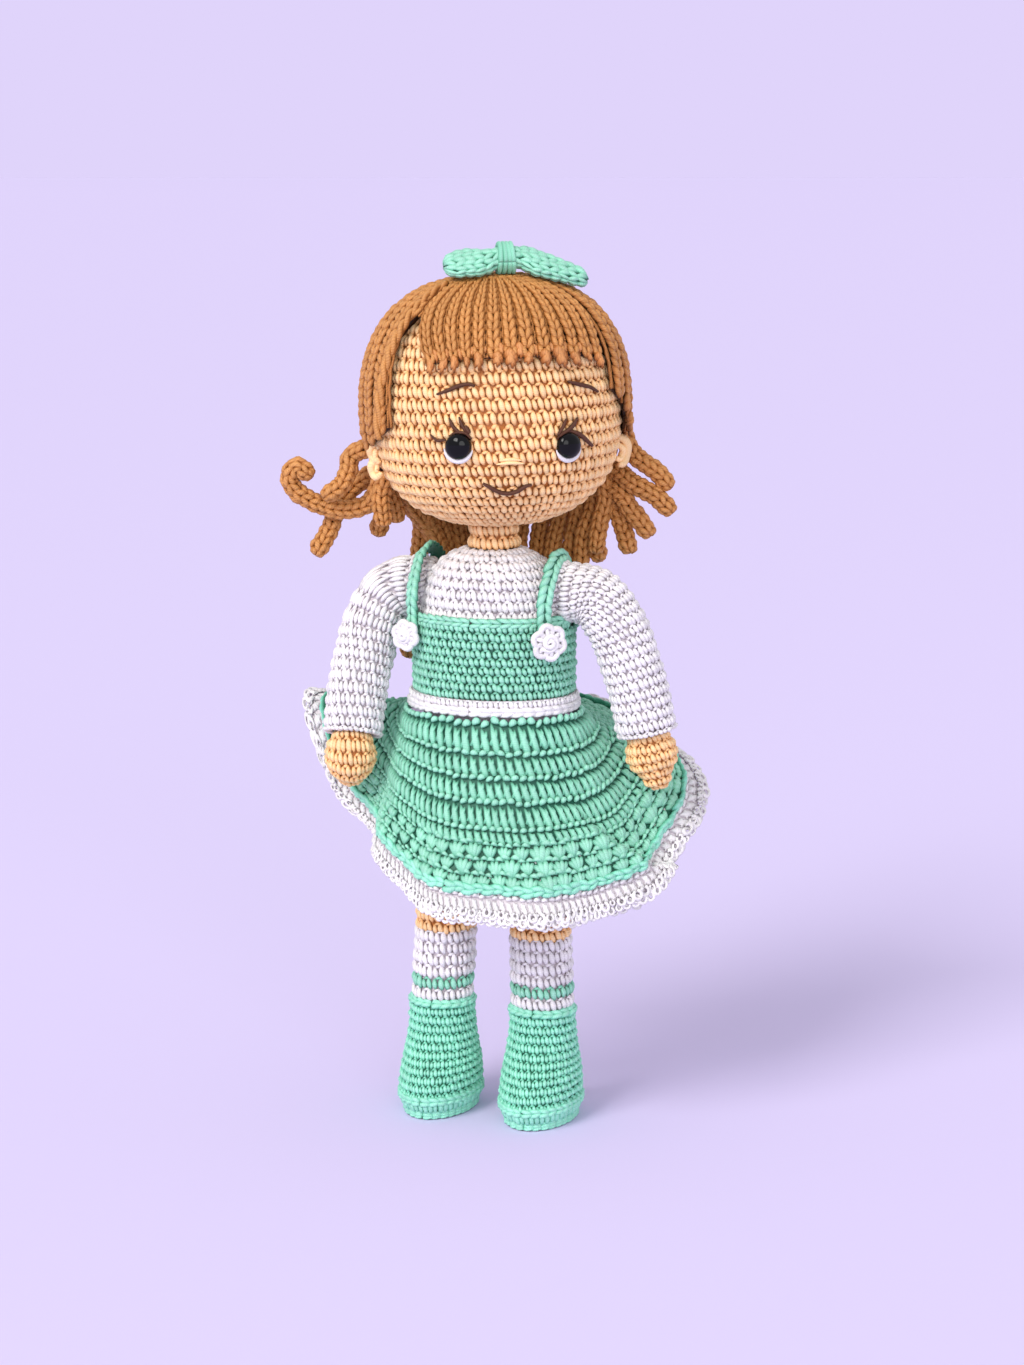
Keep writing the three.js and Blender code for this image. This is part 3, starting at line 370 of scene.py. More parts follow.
def lathe(levels, radii, depth=1.0):
    """A turned surface from its top level down to its lowest."""
    levels, radii = np.asarray(levels, float), np.asarray(radii, float)
    order = np.argsort(levels)

    def surface(u, v):
        level = levels[0] + (levels[-1] - levels[0]) * np.clip(v, -0.02, 1.02)
        radius = np.interp(level, levels[order], radii[order])
        turn = u * TURN
        return np.stack([radius * np.sin(turn), -radius * depth * np.cos(turn), level], 1)

    return surface


def ribbon(route, out_at):
    """A flat surface along a route of points, v running along and u across it."""
    route = np.asarray(route, float)
    run = run_of(route)
    run = run / run[-1]

    def surface(u, v):
        spot = places_at(v, run, route)
        ahead = unit(places_at(v + 0.004, run, route) - places_at(v - 0.004, run, route))
        out = unit(out_at(spot))
        out = unit(out - ahead * np.sum(out * ahead, 1)[:, None])
        return spot + np.cross(out, ahead) * u[:, None]

    return surface


# Stitches


class Form:
    """A stitch or strand as a mesh: places (across, down, rise), faces and ply coordinates."""

    def __init__(self, places, quads, ply):
        self.places, self.quads, self.ply = places, quads, ply


def tube(line, side, out, radii, sides, flat=1.0):
    """Skins a line with rings of points and closes both ends."""
    turns = np.arange(sides) / sides * TURN
    places = (
        line[:, None]
        + side[:, None] * (radii[:, None] * np.cos(turns))[..., None]
        + out[:, None] * (radii[:, None] * np.sin(turns) * flat)[..., None]
    ).reshape(-1, 3)
    run = run_of(line)
    quads, ply = [], []
    for i in range(len(line) - 1):
        for k in range(sides):
            m = (k + 1) % sides
            quads.append([i * sides + k, i * sides + m, (i + 1) * sides + m, (i + 1) * sides + k])
            lo, hi = k / sides, (k + 1) / sides
            ply.append([[run[i], lo], [run[i], hi], [run[i + 1], hi], [run[i + 1], lo]])
    for ring, way in ((0, -1), (len(line) - 1, 1)):
        corners = [ring * sides + k for k in range(sides)][::way]
        for i in range(0, sides - 2, 2):
            quads.append([corners[0], *corners[i + 1 : i + 4]])
            ply.append([[run[ring], 0.0]] * 4)
    return Form(places, np.array(quads), np.array(ply))


def strand(route, thickness, swell, size=(1, 1), rings=6):
    """One plump strand of a stitch. Its route is in shares of the size, across and down."""
    marks = np.linspace(0, 1, rings)
    line = spline(np.array(route) * [*size, 1], marks)
    ahead = unit(np.gradient(line, axis=0))
    up = unit(UP - ahead * ahead[:, 2:3])
    radii = thickness * np.interp(marks, np.linspace(0, 1, len(swell)), swell)
    return tube(line, np.cross(ahead, up), up, radii, 6, 0.85)


def together(*forms):
    """Several strands as one stitch."""
    starts = np.cumsum([0] + [len(form.places) for form in forms])
    return Form(
        np.vstack([form.places for form in forms]),
        np.vstack([form.quads + start for form, start in zip(forms, starts)]),
        np.vstack([form.ply for form in forms]),
    )


def plump_pair(width, height, thickness=0.98, lean=0.16):
    """A single crochet from the front: two plump ovals, the left one shorter, and a bead."""
    size = width, height / 2
    right = [[0.12, -0.95, -0.1], [0.2, 0, 0.4], [0.2 + lean, 0.98, -0.2]]
    left = [[-0.4, -0.7, -0.1], [-0.3, 0.2, 0.3], [lean - 0.34, 1, -0.3]]
    bead = [[-0.3, -0.75, 0.0], [-0.08, -0.95, 0.28], [0.14, -1.0, 0.0]]
    return together(
        strand(right, thickness, [0.55, 1.02, 1.1, 0.62], size),
        strand(left, thickness * 0.95, [0.5, 1, 1, 0.5], size),
        strand(bead, thickness * 0.62, [0.6, 1, 0.6], size, 4),
    )


def vee(width, height, thickness):
    """A chain link seen from above: two slanting legs that meet at its lower end."""
    size = width, height / 2 * 1.6
    legs = [[[s * 0.4, -1, -0.5], [s * 0.3, -0.1, 0.35], [s * 0.06, 1, 0.1]] for s in (-1, 1)]
    return together(*(strand(leg, thickness, [0.5, 0.95, 1.1, 0.55], size) for leg in legs))


def post(width, height, thickness=1.0):
    """A double crochet: a tall leaning post, thick at its foot, under a bead."""
    size = width, height / 2
    body = [[-0.44, -0.66, -0.3], [-0.08, -0.1, 0.4], [0.44, 1.0, 0.0]]
    wrap = [[0.16, -0.5, -0.3], [0.12, -0.05, 0.85], [-0.3, 0.62, 0.2]]
    bead = [[-0.42, -0.8, 0.3], [-0.05, -0.97, 0.95], [0.4, -0.98, 0.35]]
    return together(
        strand(body, thickness, [0.45, 0.68, 1.05, 1.35, 1.0], size, 7),
        strand(wrap, thickness * 0.68, [0.6, 1, 0.8], size),
        strand(bead, thickness * 0.98, [0.55, 1, 1, 0.55], size, 5),
    )


def fan(width, height):
    """A cluster of stitches that spread up out of one hole, under two beads."""
    size, thickness = (width, height), 0.98
    tips = [(-0.44, -0.2, 0.35), (-0.2, -0.4, 0.6), (0.1, -0.44, 0.75), (0.4, -0.3, 0.45)]
    legs = [
        [[0.04, 0.52, 0.0], [x * 0.6 + 0.02, y * 0.25 + 0.06, rise], [x, y, 0.0]] for x, y, rise in tips
    ]
    beads = [[[x - 0.22, -0.46, 0.3], [x, -0.55, 0.9], [x + 0.24, -0.44, 0.3]] for x in (-0.27, 0.25)]
    return together(
        *(strand(leg, thickness, [0.5, 1.0, 1.1, 0.6], size) for leg in legs),
        *(strand(bead, thickness * 0.85, [0.5, 1, 0.6], size, 5) for bead in beads),
    )


def picot(width, height):
    """A small ring of yarn that stands off the petticoat's edge."""
    marks = np.linspace(-0.45, 0.45, 8) * TURN
    ring = [[0.42 * math.sin(m), 0.05 + 0.45 * math.cos(m), 0.5] for m in marks]
    return strand(ring, 0.6, [1, 1], (width, height), 10)


def knot_form():
    """A small twisted knot that ends a strand of hair."""
    long = [[-2.0, -0.3, 0.1], [-0.6, -0.9, 0.9], [1.2, -0.3, 0.5], [1.9, 0.6, 0.0]]
    return together(
        strand(long, 0.95, [0.6, 1, 1, 0.6]),
        strand([[-1.8, 0.8, 0.0], [-0.3, 0.2, 1.1], [1.1, 0.9, 0.3]], 0.95, [0.6, 1, 0.7]),
        strand([[-0.9, -1.2, 0.2], [0.2, 0.0, 1.3], [0.0, 1.6, 0.1]], 0.8, [0.6, 1, 0.6]),
    )


# Pieces


class Piece:
    """One crocheted piece while it is being worked: stitches, strands and backing."""

    def __init__(self, place=None):
        self.place = place
        self.parts = []

    def stitches(self, surface, form, u, v, du, dv, pitch, rise=0.0, finish=0, wobble=0.05, grow=1.0):
        """Copies a stitch to every middle (u, v) of a surface. du and dv are the shares of the
        surface that one stitch takes, and pitch its width and height in millimetres."""
        u, v = np.asarray(u, float), np.asarray(v, float)
        count, n = len(u), len(form.places)
        if not count:
            return
        across, down, height = form.places.T
        across, down = across / pitch[0], down / pitch[1]
        turn = chance.normal(0, wobble, (count, 1))
        big = grow * (1 + chance.normal(0, wobble, (count, 1)))
        shift = chance.normal(0, wobble * 0.5, (2, count, 1))
        heights = height * (1 + chance.normal(0, wobble * 2, (count, 1)))
        right = (across * np.cos(turn) - down * np.sin(turn)) * big + shift[0]
        low = (across * np.sin(turn) + down * np.cos(turn)) * big + shift[1]
        at_u, at_v = (u[:, None] + right * du).ravel(), (v[:, None] + low * dv).ravel()
        points = surface(at_u, at_v) + outward(surface, at_u, at_v) * (heights.ravel() + rise)[:, None]
        quads = (form.quads[None] + (np.arange(count) * n)[:, None, None]).reshape(-1, 4)
        # Painted shade and highlight: lift is low at the stitch's lowest points and high at its top
        lift = np.tile((height - height.min()) / (height.max() - height.min()), count)
        tone = np.repeat(chance.random(count), n)
        self.parts.append((points, quads, np.tile(form.ply, (count, 1, 1)), lift, tone, finish))

    def backing(self, surface, columns, rows, between=(0.0, 1.0), lift=0.12, closed=True, under=None):
        """The plain fabric behind the stitches. With under, another surface closes it from
        below as a thin sheet."""
        across = np.linspace(0, 1, columns + 1)
        if closed:
            across = across[:-1]
        u, v = (x.ravel() for x in np.meshgrid(across, np.linspace(*between, rows + 1)))
        wide = len(across)
        points = surface(u, v)
        steps = [(j * wide + i, j * wide + (i + 1) % wide) for j in range(rows) for i in range(columns)]
        quads = np.array([[a, a + wide, b + wide, b] for a, b in steps])
        if under is not None:
            count = len(points)
            points = np.vstack([points, under(u, v)])
            edges = [(j * wide + i, j * wide + (i + 1) % wide, j) for j in (0, rows) for i in range(columns)]
            if not closed:
                edges += [(j * wide + i, (j + 1) * wide + i, i) for i in (0, columns) for j in range(rows)]
            rim = [[a, b, b + count, a + count][:: -1 if far else 1] for a, b, far in edges]
            quads = np.vstack([quads, quads[:, ::-1] + count, rim])
            u, v = np.tile(u, 2), np.tile(v, 2)
        ply = np.stack([u, v], 1)[quads] * [30.0, 8.0]
        # The backing's lift is low, so it takes the painted shade of the crevices between the stitches
        self.parts.append((points, quads, ply, np.full(len(points), lift), np.full(len(points), 0.5), 0))

    def cord(self, route, radius, up, sides=8, swell=(1, 1), lift=(0.35, 1.0)):
        """A plain strand of yarn along a route of points. up is its first outward direction."""
        route = np.asarray(route, float)
        ahead = unit(np.gradient(route, axis=0))
        out = np.zeros_like(route)
        last = np.asarray(up, float)
        for i, facing in enumerate(ahead):
            last = last - facing * (last @ facing)
            if np.linalg.norm(last) < 1e-3:
                last = np.cross(facing, [1.0, 0.3, 0.1])
            last = last / np.linalg.norm(last)
            out[i] = last
        shares = np.interp(np.linspace(0, 1, len(route)), np.linspace(0, 1, len(swell)), swell)
        form = tube(route, np.cross(ahead, out), out, radius * shares, sides)
        # Painted shade and highlight: lift runs from lift[0] on the strand's inner side to lift[1] on its
        # outward side
        height = np.sin(np.arange(sides) / sides * TURN) * 0.5 + 0.5
        shade = np.tile(lift[0] + (lift[1] - lift[0]) * height, len(route))
        tone = np.full(len(form.places), chance.random())
        self.parts.append((form.places, form.quads, form.ply, shade, tone, 0))

    def make(self, name, finishes, body, slot, *nodes):
        """The finished piece as a mesh that rides on its body and stands for its CAD nodes."""
        points, faces, ply, lift, tone, finish = zip(*self.parts)
        starts = np.cumsum([0] + [len(part) for part in points])
        quads = np.vstack([part + start for part, start in zip(faces, starts)])
        which = np.repeat(finish, [len(part) for part in faces])
        points = np.vstack(points)
        if self.place is not None:
            points = self.place(points)
        mesh = bpy.data.meshes.new(name)
        mesh.from_pydata((points * MM).tolist(), [], quads.tolist())
        for key, values in (("lift", lift), ("tone", tone)):
            values = np.concatenate(values).astype(np.float32)
            mesh.attributes.new(key, "FLOAT", "POINT").data.foreach_set("value", values)
        mesh.uv_layers.new(name="ply").data.foreach_set("uv", np.vstack(ply).astype(np.float32).ravel())
        mesh.polygons.foreach_set("material_index", which.astype(np.int32))
        mesh.polygons.foreach_set("use_smooth", np.ones(len(quads), bool))
        for chosen in finishes:
            mesh.materials.append(chosen)
        mesh.update()
        made = placed(name, mesh)
        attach(made, body)
        if nodes:
            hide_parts(*nodes)
        return made


def row_marks(edges):
    """The middle and height of each row between its edges."""
    edges = np.asarray(edges)
    return list(zip((edges[:-1] + edges[1:]) / 2, np.diff(edges)))


def rows_down(surface, pitch, low=0.0, high=1.0, at=0.0):
    """Middles and heights of rows of a pitch in millimetres, down a surface at one turn."""
    marks = np.linspace(low, high, 240)
    run = run_of(surface(np.full(240, at), marks))
    count = max(1, round(run[-1] / pitch))
    return row_marks(np.interp(np.linspace(0, run[-1], count + 1), run, marks))


def girth(surface, v):
    return run_of(surface(np.linspace(0, 1, 73), np.full(73, v)))[-1]


def rounds(
    piece, surface, form, pitch, low=0.0, high=1.0, at=0.0, rise=0.0, keep=None, finishes=(), drift=0.37
):
    """Works a round surface in rows of a stitch, with as many stitches in each row as fit."""
    for j, (v, dv) in enumerate(rows_down(surface, pitch[1], low, high, at)):
        count = max(4, round(girth(surface, v) / pitch[0]))
        u = -0.5 + (np.arange(count) + (j * drift) % 1) / count
        marks = np.full(count, v)
        if keep is not None:
            kept = keep(u, marks)
            u, marks = u[kept], marks[kept]
        finish = finishes[j] if j < len(finishes) else 0
        piece.stitches(surface, form, u, marks, 1 / count, dv, pitch, rise, finish)


def one_round(piece, surface, form, row, pitch, start, measured=None, **more):
    """One row of stitches from a start in stitches, as many as fit round the measured surface."""
    v, dv = row
    count = round(girth(measured or surface, v) / pitch[0])
    u = (np.arange(count) + start) / count
    piece.stitches(surface, form, u, np.full(count, v), 1 / count, dv, pitch, **more)


def chain(piece, route, out_at, width, step, thickness, finish=0, wobble=0.04):
    """A row of chain links along a route."""
    count = max(3, round(run_of(np.asarray(route))[-1] / step))
    v = (np.arange(count) + 0.5) / count
    link, size = vee(width, step, thickness), (width, step)
    surface = ribbon(route, out_at)
    piece.stitches(surface, link, np.zeros(count), v, width, 1 / count, size, 0.0, finish, wobble)


def from_axis(points):
    return points * [1.0, 1.0, 0.0]


# Head. The skull's widest level is its height in the head's frame, and above and below that
# level it has a half height and the power of its rounding.
SKULL_REACH, SKULL_DEPTH, SKULL_LEVEL = 40.5, 0.95, 34.5
SKULL_UPPER, SKULL_LOWER = (43.0, 2.5), (34.5, 2.35)


def skull_half(upper):
    """The half height and power for places in the upper or lower half."""
    return (np.where(upper, above, below) for above, below in zip(SKULL_UPPER, SKULL_LOWER))


def skull(offset):
    """The head's surface, or one that stands off it."""

    def surface(u, v):
        angle = np.clip(v, 0.0005, 0.9995) * math.pi
        upper = angle < math.pi / 2
        half, power = skull_half(upper)
        ring = np.sin(angle) ** (2 / power)
        rise = np.abs(np.cos(angle)) ** (2 / power) * (half + offset) * np.where(upper, 1, -1)
        x = (SKULL_REACH + offset) * ring * np.sin(u * TURN)
        y = -(SKULL_REACH * SKULL_DEPTH + offset) * ring * np.cos(u * TURN)
        return np.stack([x, y, SKULL_LEVEL + rise], 1)

    return surface


def skull_place(offset, turn, down):
    return skull(offset)(np.array([turn]), np.array([down]))[0]


CAP_EDGE = [0.26, 0.27, 0.31, 0.4, 0.5, 0.68, 0.76, 0.78, 0.79, 0.78, 0.76, 0.68, 0.5, 0.4, 0.31, 0.27, 0.26]
PARTING = -0.158


def cap_edge(u):
    """How far down the cap reaches. Its edge is higher in the parting beside the fringe."""
    whole = np.interp(np.mod(u, 1), np.linspace(0, 1, len(CAP_EDGE)), CAP_EDGE)
    return whole - 0.15 * np.exp(-(((np.mod(u + 0.5, 1) - 0.5 - PARTING) / 0.032) ** 2))


def work_head():
    head = Piece(turn_head)
    pitch = (4.2, 4.15)

    def below_cap(u, v):
        return v > cap_edge(u) - 0.03

    rounds(head, skull(0), plump_pair(*pitch), pitch, 0.21, 0.97, rise=-0.45, keep=below_cap)
    head.backing(lifted(skull(0), -1.15), 72, 60, (0.004, 0.985))
    head.make("head_skin", [skin_yarn], "head", "skin_yarn", "head_shell")


def face_at(across, level, offset):
    """Points of the face at places across and levels, in the head's frame."""
    across, level = (np.atleast_1d(np.asarray(x, float)) for x in (across, level))
    upper = level > SKULL_LEVEL
    half, power = skull_half(upper)
    height = np.clip(np.abs(level - SKULL_LEVEL) / half, 0, 1)
    angle = np.arccos(height ** (power / 2))
    along = np.where(upper, angle, math.pi - angle) / math.pi
    widest = skull(offset)(np.full(len(along), 0.25), along)[:, 0]
    return skull(offset)(np.arcsin(np.clip(across / widest, -1, 1)) / TURN, along)


def face_frame(across, level):
    """A place on the face, with its directions right, up and out."""
    right = unit(face_at(across + 0.5, level, 0)[0] - face_at(across - 0.5, level, 0)[0])
    up = unit(face_at(across, level + 0.5, 0)[0] - face_at(across, level - 0.5, 0)[0])
    return face_at(across, level, 0)[0], right, up, unit(np.cross(right, up))


# Each curl of an ear: its place up and across, half height and half width, first and last
# turn, thickness and swell
CURLS = {
    "left": [
        (0, -1.6, 4.3, 3.2, 0.3, -0.3, 1.55, [0.7, 1, 1, 1, 0.7]),
        (-0.4, -2.4, 2.2, 2.0, 0.3, -0.34, 1.2, [0.6, 1, 1, 0.7]),
    ],
    "right": [
        (2.6, -1.2, 2.6, 1.9, 0.42, -0.35, 1.35, [0.6, 1, 1, 1, 0.7]),
        (-2.7, -1.2, 2.5, 1.8, 0.38, -0.42, 1.4, [0.7, 1, 1, 1, 0.6]),
        (0.2, -1.6, 3.6, 0.5, 0.3, -0.3, 1.0, [0.6, 1, 1, 0.6]),
    ],
}


def work_ears():
    for name, sign in SIDES.items():
        ear = Piece(turn_head)
        spot = np.array([0.232 * sign]), np.array([0.588])
        out = unit(outward(skull(0), *spot)[0] * 0.75 + [0.0, -1.0, 0.0])
        side = -unit(np.cross(UP, out))
        side = side if side[0] * sign > 0 else -side
        middle = skull(1.0)(*spot)[0] + side * 1.6 + out * 0.4
        for lift, across, tall, wide, first, last, thickness, swell in CURLS[name]:
            curl = [
                middle
                + out * 0.4 * math.sin(3 * m)
                + UP * (lift + tall * math.sin(m))
                + side * (across + wide * math.cos(m))
                for m in np.linspace(first, last, 26) * TURN
            ]
            ear.cord(curl, thickness, out, swell=swell)
        ear.make(f"ear_{name}_yarn", [skin_yarn], "head", "skin_yarn", f"ear_{name}")


# Places on the face: across and level in the head's frame
EYES = {"left": (18.2, 28.2), "right": (-16.5, 29.3)}
LASHES = {
    "right": [
        ([(-25.2, 33.0), (-23.2, 31.2), (-20.6, 31.4)], 0.5),
        ([(-19.4, 38.2), (-18.2, 35.4), (-15.8, 33.2)], 0.62),
        ([(-16.4, 38.5), (-15.4, 35.6), (-13.6, 33.0)], 0.62),
        ([(-14.6, 35.8), (-14.0, 34.6), (-13.4, 33.4)], 0.85),
        ([(-19.6, 32.6), (-17.4, 33.6), (-14.6, 33.4), (-12.8, 31.6)], 0.5),
    ],
    "left": [
        ([(18.0, 36.6), (16.8, 34.4), (15.0, 31.8)], 0.6),
        ([(21.8, 36.6), (19.8, 34.0), (15.4, 31.4)], 0.7),
        ([(18.6, 32.9), (22.4, 31.4), (27.0, 27.4)], 0.8),
        ([(14.6, 30.6), (16.6, 32.4), (19.6, 32.6), (22.0, 31.0)], 0.5),
    ],
}
BROWS = {
    "right": [(-22.8, 45.4), (-18.8, 46.9), (-15.5, 48.2), (-12.6, 48.5), (-11.2, 47.9)],
    "left": [(19.0, 48.1), (23.2, 46.8), (27.0, 45.6), (29.6, 44.0)],
}
MOUTH = [(-9.2, 17.4), (-7.5, 16.4), (-4.2, 14.5), (-1.3, 13.8), (1.8, 14.4), (4.5, 16.0), (6.4, 16.3)]


def turned_mesh(name, profile, place, right, up, out):
    """A turned rigid piece of the head. profile pairs the radius with the distance out."""
    segments = 40
    rings = np.array(profile, float)
    turns = np.arange(segments) / segments * TURN
    around = right * np.cos(turns)[:, None] + up * np.sin(turns)[:, None]
    points = place + around[None] * rings[:, None, :1] + out * rings[:, None, 1:]
    steps = [(i * segments, k, (k + 1) % segments) for i in range(len(rings) - 1) for k in range(segments)]
    faces = [[a + k, a + m, a + segments + m, a + segments + k] for a, k, m in steps]
    faces.append(list(range(segments))[::-1])
    faces.append([(len(rings) - 1) * segments + k for k in range(segments)])
    mesh = bpy.data.meshes.new(name)
    mesh.from_pydata((turn_head(points.reshape(-1, 3)) * MM).tolist(), [], faces)
    mesh.polygons.foreach_set("use_smooth", np.ones(len(faces), bool))
    return placed(name, mesh)


def work_eyes():
    for name, (across, level) in EYES.items():
        place, right, up, out = face_frame(across, level)
        shank_and_rim = [(1.4, -8.6), (1.4, 0.1), (4.1, 0.2), (4.35, 0.5)]
        dome = [(4.3 * math.cos(a), 0.9 + 3.0 * math.sin(a) ** 0.95) for a in np.linspace(0, 1.52, 14)]
        eye = turned_mesh(f"eye_{name}_dome", shank_and_rim + dome, place, right, up, out)
        eye.data.materials.append(black_eye)
        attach(eye, "head")
        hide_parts(f"eye_{name}")
        white = Piece(turn_head)
        marks = np.linspace(-0.02, -0.46, 26) * TURN
        across = right * SIDES[name]
        rim = [place + (across * math.cos(m) + up * math.sin(m)) * 4.75 + out * 0.75 for m in marks]
        white.cord(rim, 0.95, out, swell=[0.15, 0.8, 1, 1, 0.7, 0.15], lift=(0.8, 1.0))
        white.make(f"eye_white_{name}_thread", [white_yarn], "head", "white_yarn", f"eye_white_{name}")


def face_strand(piece, route, thickness, swell, rise, count=14):
    """Thread laid along places of the face."""
    flat = spline([[across, level, 0.0] for across, level in route], np.linspace(0, 1, count))
    line = face_at(flat[:, 0], flat[:, 1], rise)
    out = unit(line[count // 2] - UP * SKULL_LEVEL)
    piece.cord(line, thickness, out, swell=swell, lift=(0.3, 1.0))


def work_features():
    for name in SIDES:
        lashes = Piece(turn_head)
        for route, thickness in LASHES[name]:
            face_strand(lashes, route, thickness, [0.45, 1, 1, 0.7], 1.0)
        lashes.make(f"lashes_{name}_thread", [face_thread], "head", "dark_thread", f"lashes_{name}")
        brow = Piece(turn_head)
        face_strand(brow, BROWS[name], 0.72, [0.5, 1, 1, 0.8, 0.6], 0.85)
        brow.make(f"eyebrow_{name}_thread", [face_thread], "head", "dark_thread", f"eyebrow_{name}")
    mouth = Piece(turn_head)
    face_strand(mouth, MOUTH, 0.72, [0.6, 1, 1, 1, 0.6], 0.7, 24)
    mouth.make("mouth_thread", [face_thread], "head", "dark_thread", "mouth")
    nose = Piece(turn_head)
    for level, rise, reach in ((24.7, 0.55, 0.8), (23.7, 0.8, 1.0)):
        route = [(-0.6 - 4.5 * reach, level - 0.2), (-0.6, level + 0.15), (-0.6 + 4.4 * reach, level - 0.3)]
        face_strand(nose, route, 0.62, [0.35, 1, 1, 0.35], rise)
    nose.make("nose_yarn", [skin_yarn], "head", "skin_yarn", "nose")


work_head()
work_ears()
work_eyes()
work_features()


# Hair. Turns round the head run from the middle of the face to its left.
FRINGE, FRINGE_EDGE = (-0.142, 0.147), [0.375, 0.365, 0.36, 0.36, 0.36, 0.365, 0.375]
SIDE_HAIR = {
    "left": ((0.155, 0.285), [0.45, 0.49, 0.53, 0.56]),
    "right": ((-0.285, -0.168), [0.57, 0.56, 0.53, 0.5]),
}
SIDE_KNOTS = [(0.192, 0.485), (0.2, 0.505), (0.214, 0.512), (0.228, 0.53)]
CROWN, HAIR_REACH = 0.035, 42
KNOT_PITCH = (4.4, 3.2)
LOCK_PITCH = (3.9, 2.9)


def straight(u, v):
    return u


def parted(u, v):
    """The fringe's left strands lean in toward its middle on their way down."""
    return u + 0.03 * np.clip((-u - 0.03) / 0.11, 0, 1) * np.clip(v / 0.36, 0, 1) ** 4


def combed(offset, comb, tuck=0.0, edge=1.0):
    """The hair's surface over the skull. It lies tuck millimetres lower at its edge."""
    return lambda u, v: skull(offset - tuck * np.clip((v - edge + 0.13) / 0.13, 0, 1) ** 1.5)(comb(u, v), v)


def edge_of(turns, edges):
    return lambda u: np.interp(u, np.linspace(*turns, len(edges)), edges)


def strands_of_hair(piece, starts, edge_at, base=3.9, knots=False, comb=straight, fill=0.74, tuck=0.0):
    """Columns of chain links from the crown down to an edge, with thin strands in the gaps.
    starts gives the turns round the head at which the columns meet."""
    pitch = (6.2, 2.9)
    link = vee(pitch[0] * fill, pitch[1], 1.1)
    link.places[:, 2] *= 0.9
    knot = knot_form()
    knot.places *= [0.8, 1.3, 0.72]
    for first, last in zip(starts[:-1], starts[1:]):
        u = (first + last) / 2
        edge = float(edge_at(u))
        outer = combed(base, comb, tuck, edge)
        gap = abs(last - first) * TURN * HAIR_REACH
        for v, dv in rows_down(outer, pitch[1], CROWN, edge, u):
            big = min(1, gap * math.sin(math.pi * v) ** 0.8 / pitch[0])
            piece.stitches(outer, link, [u], [v], last - first, dv, pitch, -0.7 * (1 - big), wobble=0.045)
        if knots:
            share = KNOT_PITCH[0] / (TURN * 40)
            for turn, down, wide, tall, rise in (
                (u, edge + 0.008, share, 0.028, 0.2),
                (last, edge - 0.014, share * 0.8, 0.024, -0.6),
            ):
                piece.stitches(outer, knot, [turn], [down], wide, tall, KNOT_PITCH, rise, 1, 0.17)
    for u in starts:
        edge = float(edge_at(u))
        for shift, deep, radius in ((-0.0022, -0.7, 0.55), (0.0022, -0.9, 0.5)):
            sway = 0.0011 * np.sin(np.arange(44) * 1.7 + u * 60 + shift * 900)
            turns = np.full(44, u) + shift + sway
            line = combed(base + deep, comb, tuck, edge)(turns, np.linspace(CROWN, edge, 44))
            # These strands lie deep in the gaps, so their low lift paints more shade on them
            piece.cord(line, radius, UP, 6, lift=(0.1, 0.8))


def hair_backing(piece, turns, edge_at, top=CROWN, outer=2.8, inner=2.4, comb=straight, tuck=0.0, **more):
    """The cap under the hair, between two turns round the head. Its low lift paints it dark as shade."""

    def sheet(amount):
        def surface(u, v):
            turn = turns[0] + (turns[1] - turns[0]) * u
            edge = edge_at(turn)
            return combed(amount, comb, tuck, edge)(turn, top + (edge - top) * v)

        return surface

    piece.backing(sheet(outer), under=sheet(inner), lift=0.05, **more)


def work_fringe():
    fringe = Piece(turn_head)
    edge = edge_of(FRINGE, FRINGE_EDGE)
    strands_of_hair(fringe, np.linspace(*FRINGE, 14), edge, knots=True, comb=parted, tuck=2.0)
    hair_backing(fringe, FRINGE, edge, comb=parted, tuck=2.0, columns=40, rows=16, closed=False)
    fringe.make("fringe_yarn", [hair_yarn, hair_tip_yarn], "head", "hair_yarn", "fringe")


def work_parting(side, start):
    """The strands beside the parting: one column of links, and two strands twisted together."""
    strands_of_hair(side, [start, -0.143], lambda u: 0.25, fill=0.8)
    run = np.linspace(0.12, 0.52, 60)
    turn_at = -0.147 - 0.036 * np.clip((run - 0.12) / 0.4, 0, 1)
    for phase in (0, math.pi):
        twist = np.arange(60) * 0.62 + phase
        line = skull(4.4 + 0.62 * np.cos(twist))(turn_at + 0.0026 * np.sin(twist), run)
        side.cord(line, 0.95, (-1.0, 0.0, 0.3))


def work_side_hair():
    for name, (turns, edges) in SIDE_HAIR.items():
        side = Piece(turn_head)
        edge = edge_of(turns, edges)
        strands_of_hair(side, np.linspace(*turns, 5), edge, fill=0.8, tuck=1.2)
        hair_backing(side, turns, edge, tuck=1.2, columns=40, rows=16, closed=False)
        if name == "right":
            work_parting(side, turns[1])
        else:
            knot = knot_form()
            for turn, down in SIDE_KNOTS:
                side.stitches(skull(3.0), knot, [turn], [down], 0.0165, 0.026, KNOT_PITCH, wobble=0.12)
        finishes = [hair_yarn, hair_tip_yarn]
        side.make(f"side_hair_{name}_yarn", finishes, "head", "hair_yarn", f"side_hair_{name}")


def work_tube(piece, points, radius, core, rows, length):
    """A free tube of chain links round a core, painted dark as shade by its lift of 0."""
    surface = limb(points, domed(radius, 0.0, length))
    rounds(piece, surface, vee(*LOCK_PITCH, 0.98), LOCK_PITCH, rise=-0.2, drift=0.0)
    piece.backing(limb(points, domed(core, 0.0, length)), 10, rows, lift=0.0)


# The seven tubes behind on each side, from the ear to the middle: how far each hangs down, and
# how far it is swept back in turns
DROOPS = {-1: (13, 13, 30, 37, 40, 41, 42), 1: (25, 31, 35, 38, 40, 41, 42)}
SWEEPS = {-1: (0, 0.01, 0.082, 0.056, 0.038, 0.021, 0.004), 1: (0.0,) * 7}


